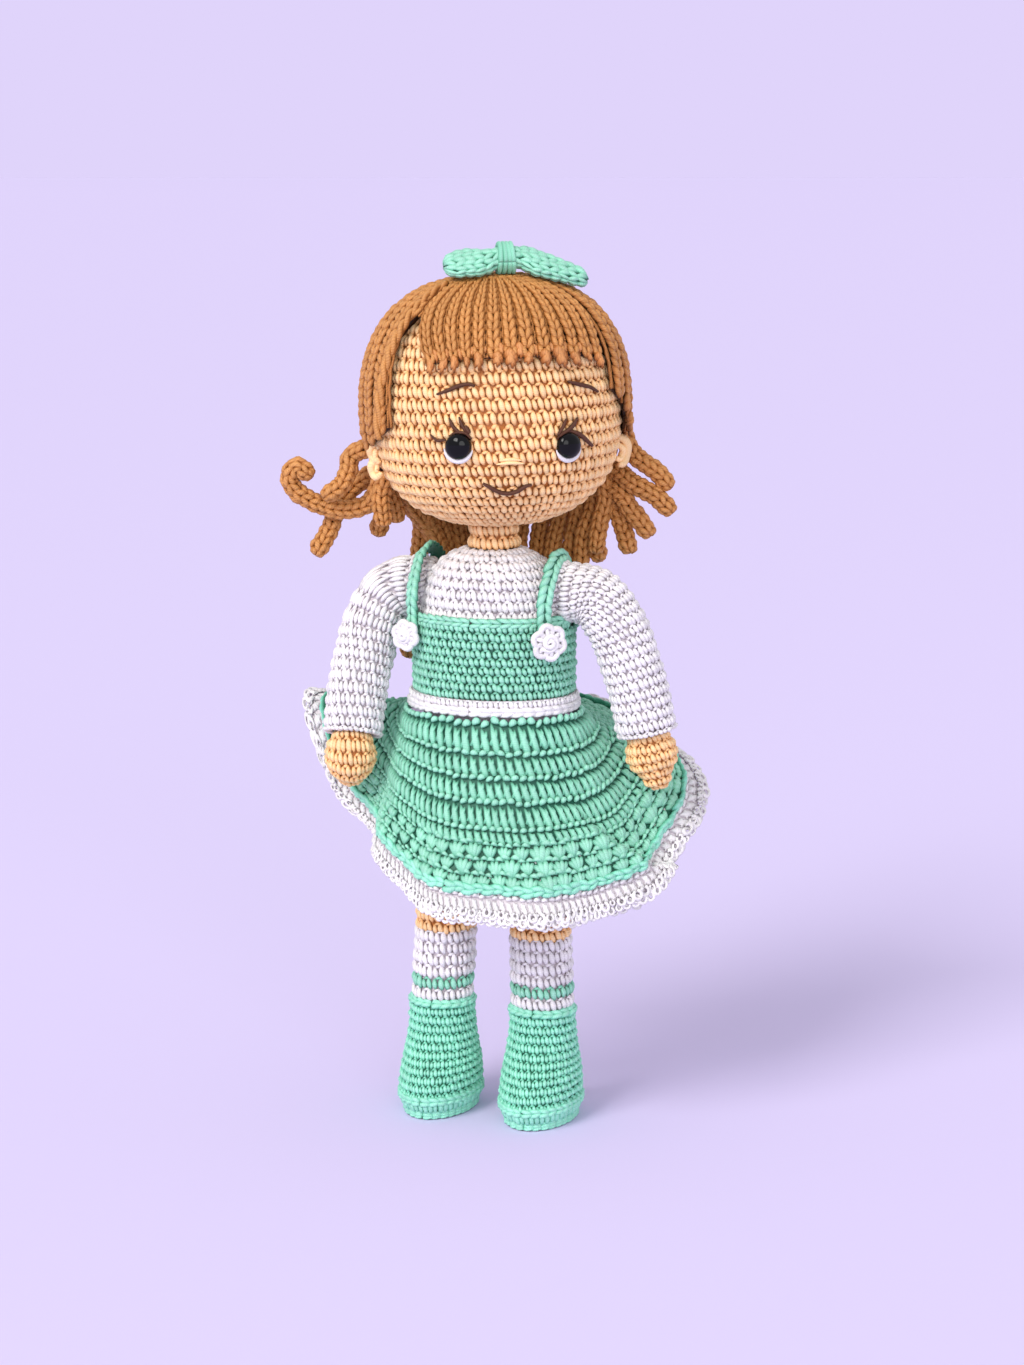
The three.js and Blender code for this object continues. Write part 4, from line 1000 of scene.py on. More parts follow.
def work_back_hair(cap):
    for side in (-1, 1):
        for k in range(7):
            lean = -1.0 - 0.7 * k - 1.5 * (k % 2) if side > 0 else 1.6 - 1.2 * (k % 2)
            tip = lean - (1.5 if side > 0 else 0.4)
            root = skull_place(2.2, side * (0.3 + 0.03 * k), 0.66)
            reach, start = math.hypot(root[0], root[1]), math.atan2(root[0], -root[1])
            points = [root]
            for swung, further, down in ((0.3, 1.5, 0.35), (0.75, lean, 0.7), (1.0, tip, 1.0)):
                angle = start + side * SWEEPS[side][k] * swung * TURN
                x, y = (reach + further) * math.sin(angle), -(reach + further) * math.cos(angle)
                points.append([x, y, root[2] - DROOPS[side][k] * down])
            work_tube(cap, points, 2.3, 1.7, 20, length_of(points))


def work_cap():
    cap = Piece(turn_head)
    strands_of_hair(cap, np.linspace(0.285, 0.715, 20), cap_edge, base=3.2)
    hair_backing(cap, (0.0, 1.0), cap_edge, 0.004, 2.4, 0.4, columns=72, rows=24)
    rounds(cap, skull(3.9), plump_pair(3.2, 3.0), (3.2, 3.0), 0.006, 0.075, rise=-0.2)
    work_back_hair(cap)
    cap.make("wig_cap_yarn", [hair_yarn], "head", "hair_yarn", "wig_cap")


# Each free lock's root, as turns round the head and down it, and its route in LOCK_SCALE
# from the head's origin
LOCK_SCALE = 70
LOCKS = {
    "lock_left_1": ((0.285, 0.55), [
        [0.67, 0.18, 0.3], [0.72, 0.16, 0.265], [0.77, 0.15, 0.23], [0.815, 0.14, 0.18],
    ]),
    "lock_left_2": ((0.3, 0.63), [
        [0.66, 0.15, 0.17], [0.71, 0.13, 0.145], [0.77, 0.12, 0.11], [0.82, 0.13, 0.06],
    ]),
    "lock_left_3": ((0.322, 0.67), [
        [0.62, 0.18, 0.1], [0.65, 0.17, 0.05], [0.69, 0.16, 0], [0.725, 0.16, -0.05],
    ]),
    "lock_left_4": ((0.357, 0.695), [
        [0.57, 0.28, 0.08], [0.6, 0.24, 0.01], [0.62, 0.21, -0.06], [0.64, 0.19, -0.13],
    ]),
    "lock_left_5": ((0.392, 0.715), [
        [0.41, 0.42, 0.08], [0.45, 0.37, 0], [0.48, 0.32, -0.09], [0.5, 0.28, -0.18],
    ]),
    "lock_right_1": ((0.686, 0.66), [
        [-0.6, 0.19, 0.07], [-0.7, 0.2, 0.04], [-0.82, 0.19, 0.06], [-0.93, 0.18, 0.12],
        [-0.975, 0.17, 0.19], [-0.94, 0.16, 0.25], [-0.895, 0.15, 0.225],
    ]),
    "lock_right_2": ((0.662, 0.62), [
        [-0.67, 0.31, 0.14], [-0.75, 0.3, 0.05], [-0.79, 0.28, -0.06], [-0.84, 0.25, -0.15],
    ]),
    "lock_right_3": ((0.7, 0.56), [
        [-0.68, 0.13, 0.3], [-0.69, 0.11, 0.24], [-0.72, 0.1, 0.17], [-0.775, 0.1, 0.13],
    ]),
    "lock_right_4": ((0.648, 0.69), [
        [-0.49, 0.35, 0.07], [-0.52, 0.35, 0.02], [-0.55, 0.34, -0.04], [-0.56, 0.33, -0.09],
    ]),
    "lock_back_1": ((0.567, 0.72), [
        [-0.33, 0.51, 0.03], [-0.37, 0.48, -0.25], [-0.4, 0.46, -0.5], [-0.42, 0.46, -0.68],
    ]),
    "lock_back_2": ((0.458, 0.72), [
        [0.1, 0.53, 0.03], [0.11, 0.49, -0.25], [0.12, 0.48, -0.5], [0.12, 0.48, -0.66],
    ]),
}
# This one ends short of the sleeve when the head turns
SHORTENED = {"lock_right_4": 1.8}


def work_locks():
    for name, (root, route) in LOCKS.items():
        free = np.array(route) * LOCK_SCALE + UP * HEAD_LEVEL
        points = np.vstack([turn_head(skull_place(5.0, *root)), free])
        lock = Piece()
        work_tube(lock, points, 2.5, 1.8, 24, length_of(points) - SHORTENED.get(name, 0.0))
        lock.make(f"{name}_yarn", [hair_yarn], "head", "hair_yarn", name)


# Bow. Along each wing: the share of its length, then breadths and levels
BOW_LEFT = ([0, 0.14, 0.3, 0.6, 1], [5.4, 7.5, 14.5, 12.5, 7.0]), ([0, 0.25, 0.6, 1], [5.0, 3.9, 0.7, -3.4])
BOW_RIGHT = ([0, 0.16, 0.5, 0.8, 1], [5.0, 8.0, 14.5, 14.0, 8.0]), ([0, 0.3, 0.7, 1], [5.2, 3.4, 3.2, 2.2])
BOW_MIDDLE = 3.2


def bow_surface(u, v):
    """Round the bow's band with u, and along it from the left wing to the right with v."""
    along = 2 * np.clip(1 - v, 0, 1) - 1
    wing = np.abs(along)
    left = along > 0
    x = BOW_MIDDLE + along * np.where(left, 27.2, 20.2)
    wings = zip(BOW_LEFT, BOW_RIGHT)
    broad, level = (np.where(left, np.interp(wing, *a), np.interp(wing, *b)) for a, b in wings)
    close = np.sqrt(np.clip(1 - np.clip((wing - 0.87) / 0.13, 0, 1) ** 2, 0.003, 1))
    thick = 2.1 * np.interp(wing, [0, 0.2, 1], [1.1, 1.25, 0.95])
    front = broad / 2 * np.cos(-u * TURN) * close
    rise = thick * np.sin(-u * TURN) * close
    tilt = math.radians(25)
    y = -8.5 - front * math.cos(tilt) - rise * math.sin(tilt)
    return np.stack([x, y, 82.4 + level - front * math.sin(tilt) + rise * math.cos(tilt)], 1)


def work_bow():
    bow = Piece(turn_head)
    pitch = (3.9, 3.1)
    rounds(bow, bow_surface, vee(*pitch, 1.02), pitch, 0.02, 0.98, at=0.25, rise=-0.35, drift=0.0)
    bow.backing(lifted(bow_surface, -0.9), 30, 40, lift=0.1)
    bow.make("bow_yarn", [mint_yarn], "head", "mint_yarn", "bow")
    wrap = Piece(turn_head)
    for k, x in enumerate((-2.1, -0.7, 0.7, 2.1)):
        ring = [
            [
                BOW_MIDDLE + x + 0.3 * math.sin(m + k),
                -8.3 - 4.4 * math.cos(m) - 0.6 * math.sin(m),
                86.9 + 4.4 * math.sin(m) - 1.2 * math.cos(m),
            ]
            for m in np.linspace(0, 1, 30) * TURN
        ]
        wrap.cord(ring, 0.85, (1.0, 0.0, 0.0), lift=(0.5, 1.0))
    wrap.make("bow_wrap_yarn", [mint_yarn], "head", "mint_yarn", "bow_wrap")


work_fringe()
work_side_hair()
work_cap()
work_locks()
work_bow()


# Torso, neck and dress
BODY_DEPTH = 0.84
TORSO_LEVELS = 108.5 + 85 * np.array([1, 0.985, 0.96, 0.925, 0.875, 0.81, 0.74, 0.45, 0.07])
TORSO_RADII = 25 * np.array([0.34, 0.5, 0.655, 0.785, 0.89, 0.955, 0.985, 1, 1])
SHOULDERS = {name: np.array([25.5 * sign, 0, 180.0]) for name, sign in SIDES.items()}
BODICE_TOP, BELT_TOP = 170.9, 145.9


def work_torso():
    torso = Piece(turn_body)
    pitch = (3.5, 3.4)
    surface = lathe(TORSO_LEVELS, TORSO_RADII, BODY_DEPTH)
    rounds(torso, surface, plump_pair(*pitch), pitch, 0.0, 0.42, rise=-0.35)
    full = lathe([*TORSO_LEVELS, 112.6, 111.7], [*TORSO_RADII, 24, 22], BODY_DEPTH)
    torso.backing(lifted(full, -1.0), 48, 40, lift=0.2)
    torso.make("torso_yarn", [white_yarn], "torso", "white_yarn", "torso_shell")
    neck = Piece(turn_body)
    pitch = (3.7, 3.8)
    surface = lathe([210, 201.5, 197.6, 193.8], [7.8, 8.0, 7.4, 8.4])
    rounds(neck, surface, plump_pair(*pitch), pitch, rise=-0.3)
    neck.backing(lifted(surface, -1.0), 24, 10)
    neck.make("neck_yarn", [skin_yarn], "torso", "skin_yarn", "neck")


def body_ring(radius, level):
    turns = np.linspace(0, TURN, 96)
    return np.stack([radius * np.sin(turns), -radius * BODY_DEPTH * np.cos(turns), np.full(96, level)], 1)


def body_band(radius, *levels):
    return lathe(levels, [radius, radius], BODY_DEPTH)


def work_bodice():
    bodice = Piece(turn_body)
    surface = body_band(27.4, BODICE_TOP, BELT_TOP)
    pitch = (3.35, 2.78)

    def clear_of_arms(u, v):
        points = surface(u, v)
        far = [np.linalg.norm(points - centre, axis=1) > 11.2 for centre in SHOULDERS.values()]
        return far[0] & far[1]

    rounds(bodice, surface, plump_pair(*pitch, 0.8), pitch, rise=-0.45, keep=clear_of_arms)
    inner = body_band(26.3, 170.6, BELT_TOP)
    bodice.backing(inner, 60, 10, under=lifted(inner, -0.6))
    chain(bodice, body_ring(27.2, 171.3), from_axis, 3.0, 3.3, 0.75)
    bodice.make("dress_bodice_yarn", [mint_yarn], "torso", "mint_yarn", "dress_bodice")


def work_belt():
    belt = Piece(turn_body)
    surface = body_band(28.2, BELT_TOP, 143.4)
    pitch = (3.3, 2.5)
    beads = plump_pair(*pitch, 0.82, 0.1)
    belt.stitches(surface, beads, np.arange(52) / 52, np.full(52, 0.5), 1 / 52, 1.0, pitch, rise=-0.2)
    chain(belt, body_ring(28.3, 142.1), from_axis, 2.6, 3.6, 0.95)
    base = body_band(27.6, 145.8, 141.0)
    belt.backing(base, 60, 4, under=lifted(base, -1.2), lift=0.3)
    belt.make("dress_belt_yarn", [white_yarn], "torso", "white_yarn", "dress_belt")


# The hem at 24 places round the body: its reach in 70 mm, and its rise from the hem's lowest
# level as a share of the way to the waist
HEM_REACH = [
    0.714, 0.729, 0.743, 0.771, 0.8, 0.87, 0.98, 1.01, 0.97, 0.92, 0.84, 0.755,
    0.72, 0.745, 0.85, 0.98, 1.086, 0.8, 0.614, 0.593, 0.614, 0.643, 0.671, 0.7,
]
HEM_RISE = [
    0.016, 0, 0, 0.016, 0.058, 0.18, 0.39, 0.59, 0.74, 0.84, 0.92, 0.8,
    0.59, 0.59, 0.79, 0.92, 0.97, 0.53, 0.37, 0.305, 0.255, 0.15, 0.066, 0.033,
]
HEM_LEVEL, WAIST_LEVEL, WAIST_REACH = 78, 138.9, 28.0
SKIRT_EDGE = 0.825
PETTICOAT_EDGE = 0.97
# Where the skirt's rows meet: four of tall posts, one of short posts and three of fans
SKIRT_ROWS = np.array([0, 29, 52, 76, 104, 121, 138, 155, 172]) / 172 * SKIRT_EDGE


def hem_points():
    turns = np.arange(24) / 24 * TURN + math.radians(20)
    reach = np.array(HEM_REACH) * 70
    level = HEM_LEVEL + (WAIST_LEVEL - HEM_LEVEL) * np.array(HEM_RISE)
    return np.stack([reach * np.sin(turns), -reach * np.cos(turns), level], 1)


HEM = hem_points()


def skirt_middle(u, v):
    """The skirt between its two layers, from the waist to the hem, with its nine soft folds."""
    turn = u * TURN
    x, y = WAIST_REACH * np.sin(turn), -WAIST_REACH * BODY_DEPTH * np.cos(turn)
    top = np.stack([x, y, np.full(len(u), WAIST_LEVEL)], 1)
    hem = spline(HEM, np.mod(u - 20 / 360, 1), closed=True)
    point = top + (hem - top) * v[:, None]
    fold = 1.5 * np.clip(v, 0, None) ** 1.6 * np.cos(9 * turn)
    point[:, 0] += fold * np.sin(turn)
    point[:, 1] -= fold * np.cos(turn)
    point[:, 2] -= 12 * v * (1 - v)
    return point


def panel_fold(u, v):
    """How far the front panel stands off. It ends in a fold that runs down the left side."""
    past = np.mod(u + 0.25, 1) - 0.25 - (0.17 + 0.155 * (v - 0.45))
    shape = np.where(past < 0, np.exp(-((past / 0.085) ** 2)), np.clip(1 - past / 0.009, 0, 1))
    return 5.2 * np.clip((v - 0.36) / 0.36, 0, 1) * shape


def skirt_face(offset):
    def surface(u, v):
        return skirt_middle(u, v) + outward(skirt_middle, u, v) * (offset + panel_fold(u, v))[:, None]

    return surface


def work_skirt():
    face = skirt_face(1.0)
    base = Piece(turn_body)
    base.backing(face, 160, 30, (0.0, SKIRT_EDGE), under=skirt_face(0.35), lift=0.0)
    cloth = base.make("skirt_cloth", [mint_yarn], "torso", "mint_yarn", "dress_skirt")
    yarn = Piece(turn_body)
    rows = row_marks(SKIRT_ROWS)
    for j, row in enumerate(rows[:5]):
        size = (3.0, 8.2 if j < 4 else 5.6)
        one_round(yarn, face, post(*size), row, size, j * 0.3, rise=0.15, wobble=0.045)
    for j, row in enumerate(rows[5:], 5):
        size = (6.4, 5.6)
        one_round(yarn, face, fan(*size), row, size, (j % 2) * 0.5, rise=0.2, wobble=0.09, grow=1.12)
    turns = np.linspace(0, 1, 300)
    rim = skirt_face(1.4)(turns, SKIRT_EDGE + 0.006 * np.sin(turns * TURN * 46))
    chain(yarn, rim, from_axis, 3.0, 3.3, 0.95, finish=1, wobble=0.07)
    stitches = yarn.make("skirt_yarn", [mint_yarn, mint_bright_yarn], "torso", "mint_yarn")


def work_petticoat():
    face = skirt_face(-0.6)
    base = Piece(turn_body)
    base.backing(face, 160, 30, (1 / 7, PETTICOAT_EDGE), under=skirt_face(-1.5), lift=0.35)
    cloth = base.make("petticoat_cloth", [white_yarn], "torso", "white_yarn", "petticoat")
    yarn = Piece(turn_body)
    size = (3.0, 6.0)
    for j, row in enumerate(row_marks([0.66, 0.76, 0.86, 0.955])):
        one_round(yarn, face, post(*size, 0.9), row, size, j * 0.3)
    for j, (v, rise) in enumerate(((0.965, 0.9), (0.985, 0.1), (1.005, -0.6), (1.0, 0.6))):
        one_round(yarn, face, picot(3.2, 3.4), (v, 0.05), (3.3, 3.3), j * 0.37, rise=rise, wobble=0.16)

    def inside(u, v):
        return skirt_face(-1.4)(-u, v)

    size = (3.6, 6.4)
    for j, row in enumerate(row_marks(np.linspace(0.42, PETTICOAT_EDGE, 6))):
        one_round(yarn, inside, post(*size, 0.85), row, size, j * 0.3, face)
    stitches = yarn.make("petticoat_yarn", [white_yarn], "torso", "white_yarn")


# Straps meet the bodice this share of a turn from the middle
STRAP_TURN = 0.145
BODY_FRONT = np.array([0.342, -0.94, 0.0])
ARCH_RADIUS = {"left": 11.7, "right": 12.5}


def bodice_point(turn, level, offset):
    radius = 27.5 + offset
    return np.array([radius * math.sin(turn), -radius * BODY_DEPTH * math.cos(turn), level])


def work_strap(name, sign):
    arch = ARCH_RADIUS[name]
    over = [
        np.array([sign * (25.5 - 2.2), arch * math.sin(t), 180 + arch * math.cos(t)])
        for t in (-1.1, -0.6, 0, 0.6, 1.1)
    ]
    low = []
    for turn in (STRAP_TURN * TURN, math.pi - STRAP_TURN * TURN):
        levels = [BODICE_TOP + (189.6 - BODICE_TOP) * s for s in (-0.3, 0, 0.4)]
        low.append([bodice_point(sign * turn, level, 1.7) for level in levels])
    route = even_route([*low[0], *over, *low[1][::-1]], 120)

    def out_at(points):
        out = unit(points - UP * BODICE_TOP)
        return out + BODY_FRONT * 0.8 * np.clip(out @ BODY_FRONT + 0.35, 0, 1)[:, None]

    strap = Piece(turn_body)
    chain(strap, route, out_at, 4.9, 3.0, 1.15)
    base = limb(route[::8], [(0, 2.0), (length_of(route[::8]), 2.0)], front=out_at, flat=0.35)
    strap.backing(base, 10, 40, lift=0.1)
    strap.make(f"strap_{name}_yarn", [mint_yarn], "torso", "mint_yarn", f"strap_{name}")


# One petal and its middle: distance from the rosette's centre, angle and rise
PETAL = [(2.3, -0.35, 1.4), (4.3, -0.5, 1.5), (5.3, 0, 1.3), (4.3, 0.5, 1.5), (2.3, 0.35, 1.4)]
PETAL_MIDDLE = [(1.8, 0, 1.2), (3.2, 0.05, 1.7), (4.4, 0, 1.4)]
# Each rosette's size, how far it leans to the front, and how far it stands forward
ROSETTES = {"left": (1.05, 0.3, 0.0), "right": (0.86, 1.1, 1.6)}


def work_rosette(name, sign):
    size, lean, forward = ROSETTES[name]
    turn = sign * STRAP_TURN * TURN
    out = unit(np.array([math.sin(turn) * BODY_DEPTH, -math.cos(turn), 0.0]))
    out = unit(out + BODY_FRONT * lean)
    right = -np.cross(UP, out)
    place = bodice_point(turn, BODICE_TOP - 5.5, 3.4) + BODY_FRONT * forward
    rose = Piece(turn_body)

    def at(radius, angle, rise):
        return place + (right * math.cos(angle) + UP * math.sin(angle)) * radius * size + out * rise

    for k in range(6):
        angle = k / 6 * TURN + 0.3
        petal = even_route([at(r, angle + a, h) for r, a, h in PETAL], 14)
        rose.cord(petal, 1.05, out, swell=[0.6, 1, 1, 1, 0.6])
        middle = even_route([at(r, angle + a, h) for r, a, h in PETAL_MIDDLE], 8)
        rose.cord(middle, 0.95, out, swell=[0.6, 1, 0.6])
    spiral = [at(0.25 + 2.6 * s, s * 1.9 * TURN, 3.0 - 0.9 * s) for s in np.linspace(0, 1, 34)]
    rose.cord(spiral, 0.95, out, swell=[0.7, 1, 1, 0.6])

    def dome(u, v):
        around = right * np.sin(u * TURN)[:, None] + UP * np.cos(u * TURN)[:, None]
        reach, rise = 4.8 * size * np.clip(v, 0.01, 1), 1.2 * (1 - v**2)
        return place + around * reach[:, None] + out * rise[:, None]

    rose.backing(dome, 24, 6, (0.02, 1.0), under=lifted(dome, -0.8), lift=0.3)
    rose.make(f"rosette_{name}_yarn", [white_yarn], "torso", "white_yarn", f"rosette_{name}")


work_torso()
work_bodice()
work_belt()
work_skirt()
work_petticoat()
for name, sign in SIDES.items():
    work_strap(name, sign)
    work_rosette(name, sign)


# Arms and hands. A sleeve's route from its shoulder is in SLEEVE_LENGTH.
SLEEVE_LENGTH = 48
SLEEVES = {
    "left": [
        [0, 0, 0], [0.21, 0, -0.04], [0.36, 0.01, -0.23],
        [0.45, 0.02, -0.46], [0.52, 0.03, -0.7], [0.57, 0.04, -0.94],
    ],
    "right": [
        [0, 0, 0], [-0.19, -0.03, -0.04], [-0.31, -0.1, -0.22],
        [-0.355, -0.2, -0.48], [-0.37, -0.31, -0.74], [-0.365, -0.4, -1],
    ],
}
HAND_LEAN = {"left": (0.25, 0.02, -1.0), "right": (-0.27, 0.7, -0.85)}
HAND_SIZE = 8.2


def work_sleeve(name, points):
    length = length_of(points)
    profile = domed(9.5, start=0.0) + [(length * 0.5, 9.7), (length, 9.6)]
    cuffed = limb(points, profile + [(length + 0.7, 8.8), (length + 0.9, 6.9)])
    sleeve = Piece(turn_body)
    pitch = (3.55, 3.65)
    rounds(sleeve, cuffed, plump_pair(*pitch, 0.9), pitch, at=0.25, rise=-0.4)
    inner = limb(points, thinner(profile, 1.0) + [(length + 0.25, 7.6), (length + 0.3, 4.0)])
    sleeve.backing(inner, 30, 30, lift=0.3)
    made = sleeve.make(f"sleeve_{name}_yarn", [white_yarn], f"arm_{name}", "white_yarn", f"sleeve_{name}")


def work_hand(name, points):
    route = even_route(points, 90)
    ahead = unit(route[-1] - route[-2])
    lean = unit(np.array(HAND_LEAN[name]))
    palm = [points[-1] + ahead * 0.4]
    for bend in (0.0, 0.45, 0.85):
        palm.append(palm[-1] + unit(ahead + (lean - ahead) * bend) * 19 * 0.76 / 3)
    reach = length_of(palm)
    pairs = [(reach * i / 5, HAND_SIZE * w) for i, w in enumerate((0.72, 0.86, 1, 1, 0.88, 0.6))]
    angles = np.linspace(0, math.pi / 2, 6)[1:]
    tip = HAND_SIZE * 0.6
    pairs += [(reach + tip * math.sin(a), max(tip * math.cos(a), 0.05)) for a in angles]
    hand = Piece(turn_body)
    pitch = (3.3, 3.2)
    rounds(hand, limb(palm, pairs), plump_pair(*pitch, 0.85), pitch, at=0.25, rise=-0.35)
    hand.backing(limb(palm, thinner(pairs, 0.9)), 24, 16)
    made = hand.make(f"hand_{name}_yarn", [skin_yarn], f"arm_{name}", "skin_yarn", f"hand_{name}")


# Legs, socks and shoes. Each foot's distance from the middle, and the shoe's sections from
# the sole up: level, half width, toe and heel as shares of the shoe's own
FEET = {"left": 17.4, "right": 18.9}
HIP_LEVEL, HIP_ACROSS, ANKLE = 104, 15.2, 38.6
LEG_RADIUS = 9.7
SHOE_SECTIONS = np.array([
    [0, 0.9, 0.93, 0.93], [0.1, 0.97, 1, 1], [0.24, 1, 1, 1], [0.38, 0.98, 0.87, 0.94],
    [0.52, 0.93, 0.68, 0.85], [0.68, 0.87, 0.56, 0.76], [0.86, 0.84, 0.53, 0.71], [1, 0.82, 0.515, 0.69],
])
SHOE_HALF, SHOE_TOE, SHOE_HEEL = 13.8, 22, 16.5
SHOE_FOOT = 2.9


def leg_x(name, level):
    share = np.clip((HIP_LEVEL - level) / (HIP_LEVEL - ANKLE), 0, 1)
    return SIDES[name] * (HIP_ACROSS + (FEET[name] - HIP_ACROSS) * share)


def upright(name, levels, radii):
    """A round surface about the leg's middle line, from its top level down."""
    marks = np.linspace(0, 1, len(levels))

    def surface(u, v):
        level, radius = np.interp(v, marks, levels), np.interp(v, marks, radii)
        turn = u * TURN
        return np.stack([leg_x(name, level) + radius * np.sin(turn), -radius * np.cos(turn), level], 1)

    return surface


def shoe_surface(name, grow=-0.7):
    middle = leg_x(name, ANKLE)

    def surface(u, v):
        share = np.clip(1 - v, -0.02, 1.02)
        width, toe, heel = (np.interp(share, SHOE_SECTIONS[:, 0], SHOE_SECTIONS[:, i]) for i in (1, 2, 3))
        ahead = np.cos(u * TURN)
        reach = np.where(ahead > 0, toe * SHOE_TOE + grow, heel * SHOE_HEEL + grow)
        x = middle + (width * SHOE_HALF + grow) * np.sin(u * TURN)
        return np.stack([x, -reach * ahead, SHOE_FOOT + (ANKLE - SHOE_FOOT) * share], 1)

    return surface


def from_foot(name):
    return lambda points: from_axis(points - [leg_x(name, ANKLE), 0, 0])


def work_leg(name):
    leg = Piece(turn_body)
    angles = np.linspace(1.5, 0, 6)
    levels = [HIP_LEVEL + LEG_RADIUS * math.sin(a) for a in angles] + [62.4]
    radii = [LEG_RADIUS * math.cos(a) for a in angles] + [LEG_RADIUS]
    run = run_of(np.stack([levels, radii], 1))
    spread = np.linspace(0, run[-1], 40)
    levels, radii = np.interp(spread, run, levels), np.interp(spread, run, radii)
    pitch = (4.0, 4.0)
    rounds(leg, upright(name, levels, radii), plump_pair(*pitch), pitch, 0.25, 1.0, rise=-0.35)
    inner = upright(name, [*levels, 63.4, 63.2, 9.2], [*np.maximum(radii - 1.0, 0.05), 8.7, 7.8, 7.8])
    leg.backing(inner, 24, 40)
    made = leg.make(f"leg_{name}_yarn", [skin_yarn], f"leg_{name}", "skin_yarn", f"leg_{name}")


def work_sock(name):
    sock = Piece(turn_body)
    pitch = (4.1, 4.08)
    form = plump_pair(*pitch, lean=0.12)
    surface = upright(name, [63.4, 38.9], [10.1, 10.1])
    rounds(sock, surface, form, pitch, rise=-0.35, finishes=[0, 0, 0, 0, 1, 0], drift=0.0)
    inner = upright(name, [62.8, 38.9], [9.2, 9.2])
    sock.backing(inner, 24, 8, lift=0.25, under=lifted(inner, -0.7))
    sock.make(f"sock_{name}_yarn", [white_yarn, mint_yarn], f"leg_{name}", "white_yarn", f"sock_{name}")


def work_shoe(name):
    shoe = Piece(turn_body)
    surface = shoe_surface(name)
    pitch = (2.75, 3.0)
    rounds(shoe, surface, plump_pair(*pitch, 0.74), pitch, 0.05, 0.9, rise=-0.35)
    shoe.backing(lifted(surface, -0.85), 40, 24)
    u = np.linspace(0, 1, 80)
    out_at = from_foot(name)
    rim = shoe_surface(name, -1.0)(u, np.full(80, 0.02))
    ridge = shoe_surface(name, -0.5)(u, np.full(80, 0.89))
    chain(shoe, rim, lambda points: unit(out_at(points)) + UP * 0.8, 2.5, 3.2, 0.85)
    chain(shoe, ridge, out_at, 2.6, 3.0, 0.85)
    count = 50
    bar = strand([[-0.1, -1.5, 0.2], [0.1, 0, 0.45], [0.1, 1.6, 0]], 0.95, [0.8, 1, 0.8])
    places = np.arange(count) / count
    shoe.stitches(surface, bar, places, np.full(count, 0.955), 1 / count, 0.09, (1.7, 3.0), rise=-0.2)
    shoe.make(f"shoe_{name}_yarn", [mint_bright_yarn], f"leg_{name}", "mint_yarn", f"shoe_{name}")


def work_sole(name):
    sole = Piece(turn_body)
    middle = leg_x(name, ANKLE)
    _, width, toe, heel = SHOE_SECTIONS[0]

    def slab(u, v):
        """The sole's upper side, its edge and its lower side, a third of the way each."""
        turn = u * TURN
        reach = np.where(np.cos(turn) > 0, toe * SHOE_TOE, heel * SHOE_HEEL) - 0.7
        run = np.clip(v, 0.001, 0.999) * 3
        near = np.clip(np.where(run < 1, run, np.where(run > 2, 3 - run, 1.0)), 0.01, 1)
        near = near * (0.99 - 0.09 * np.clip(np.where(run > 2, 1.0, run - 1), 0, 1) ** 2)
        level = np.where(run < 1, 2.5, np.where(run > 2, 1.4, 2.5 - (run - 1) * 1.1))
        x = middle + (width * SHOE_HALF - 0.7) * np.sin(turn) * near
        return np.stack([x, -reach * np.cos(turn) * near, level], 1)

    def tread(u, v):
        """The sole's lower side, from its edge to its middle."""
        centre = np.array([middle, 0.0, 1.35])
        rim = from_axis(slab(u, np.full(len(u), 0.6667))) + UP * 1.35
        return centre + (rim - centre) * (1 - np.clip(v, 0, 0.99))[:, None]

    sole.backing(slab, 48, 12, lift=0.5)
    pitch = (3.2, 3.0)
    rounds(sole, tread, plump_pair(*pitch, 0.62), pitch, 0.02, 0.98, rise=-0.15)
    edge = from_axis(slab(np.linspace(0, 1, 80), np.full(80, 0.5)))
    for level in (1.3, 2.1):
        chain(sole, edge + UP * level, from_foot(name), 1.8, 3.0, 0.62)
    sole.make(f"sole_{name}_yarn", [mint_bright_yarn], f"leg_{name}", "mint_yarn", f"sole_{name}")


for name, shares in SLEEVES.items():
    arm = np.array(shares) * SLEEVE_LENGTH + SHOULDERS[name]
    work_sleeve(name, arm)
    work_hand(name, arm)
for name in FEET:
    work_leg(name)
    work_sock(name)
    work_shoe(name)
    work_sole(name)


# Inside pieces


def stuff(name, body):
    """The fibre fill, a lumpy copy of its CAD solid."""
    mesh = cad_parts[name].data.copy()
    mesh.name = name + "_fibre"
    made = placed(name + "_fibre", mesh)
    places = np.zeros(len(mesh.vertices) * 3)
    mesh.vertices.foreach_get("co", places)
    places = places.reshape(-1, 3)
    middle = places.mean(0)
    x, y, z = places.T
    lumps = 1 - 0.006 * (1 + np.sin(x * 400) * np.sin(y * 370 + 1) * np.sin(z * 350))
    mesh.vertices.foreach_set("co", (middle + (places - middle) * lumps[:, None]).ravel())
    mesh.materials.clear()
    mesh.materials.append(fibre_fill)
    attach(made, body)
    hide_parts(name)


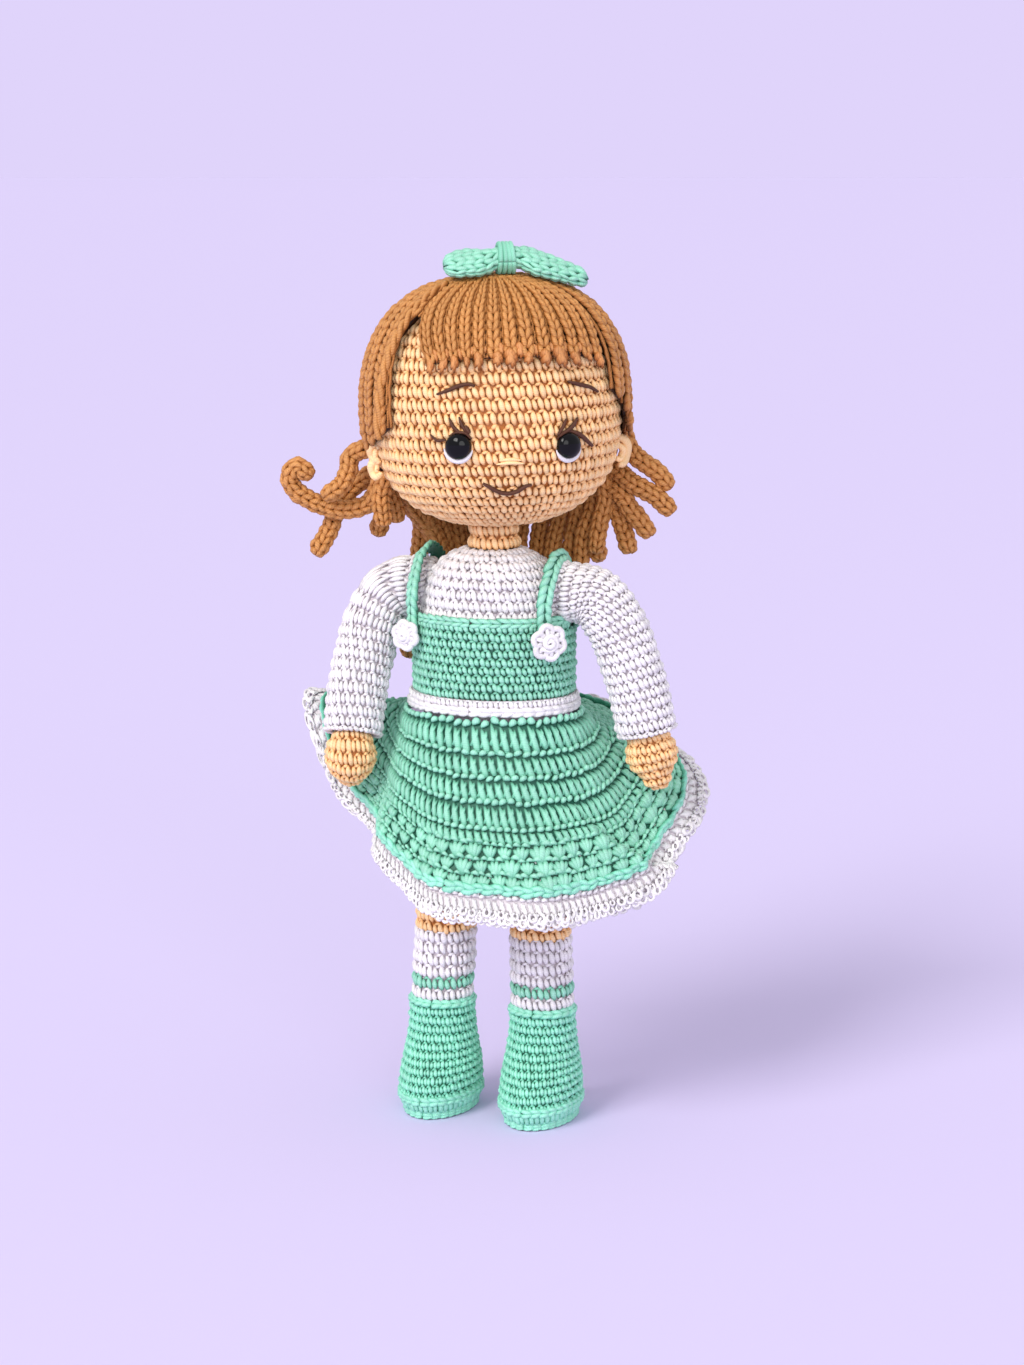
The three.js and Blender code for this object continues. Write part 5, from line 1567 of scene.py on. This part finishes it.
stuff("head_stuffing", "head")
stuff("torso_stuffing", "torso")
INSIDE = {
    "neck_dowel": birch_wood,
    "eye_washer_left": washer_plastic,
    "eye_washer_right": washer_plastic,
    "insole_left": insole_board,
    "insole_right": insole_board,
}
for name, finish in INSIDE.items():
    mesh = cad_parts[name].data
    mesh.materials.clear()
    mesh.materials.append(finish)


# Stage and lamps


def lay_floor():
    material, tree, shader = new_finish("lavender ground")
    noise = node(tree, "ShaderNodeTexNoise", {"Scale": 2.0}).outputs["Fac"]
    colour = blend_colours(tree, noise, linear("#d9cff3"), linear("#dcd2f6"))
    feed(tree, shader, {"Base Color": colour, "Roughness": 0.9, "Specular IOR Level": 0.0})
    mesh = bpy.data.meshes.new("floor")
    reach = 40.0
    corners = [(-reach, -reach, 0), (reach, -reach, 0), (reach, reach, 0), (-reach, reach, 0)]
    mesh.from_pydata(corners, [], [[0, 1, 2, 3]])
    mesh.materials.append(material)
    floor = placed("floor", mesh)


def light_world():
    """A pale sky that lights the doll, and the lavender that the camera sees instead."""
    world = bpy.data.worlds.new("studio")
    bpy.context.scene.world = world
    world.use_nodes = True
    tree = world.node_tree
    sky = tree.nodes["Background"]
    feed(tree, sky, {"Color": linear("#f6f4fb"), "Strength": 0.72})
    seen = node(tree, "ShaderNodeBackground", {"Color": linear("#e0d4fb"), "Strength": 1.0})
    camera_ray = node(tree, "ShaderNodeLightPath").outputs["Is Camera Ray"]
    mixer = node(tree, "ShaderNodeMixShader", {0: camera_ray, 1: sky.outputs[0], 2: seen.outputs[0]})
    feed(tree, tree.nodes["World Output"], {"Surface": mixer.outputs[0]})


def lamp(name, kind, energy, turned, **settings):
    light = bpy.data.lights.new(name, kind)
    light.energy = energy
    for key, value in settings.items():
        setattr(light, key, value)
    made = placed(name, light)
    made.rotation_euler = [math.radians(angle) for angle in turned]
    return made


lay_floor()
light_world()
lamp("key", "SUN", 1.68, (52, 0, -42), angle=math.radians(26), color=(1.0, 0.97, 0.93))
window = lamp("window", "AREA", 6.0, (58, 0, -29), shape="RECTANGLE", size=0.46, size_y=0.62)
window.location = (-1.0, -1.8, 1.35)
lamp("low fill", "SUN", 1.15, (80, 0, 9.5), angle=math.radians(40))
bpy.context.scene.view_settings.view_transform = "Standard"
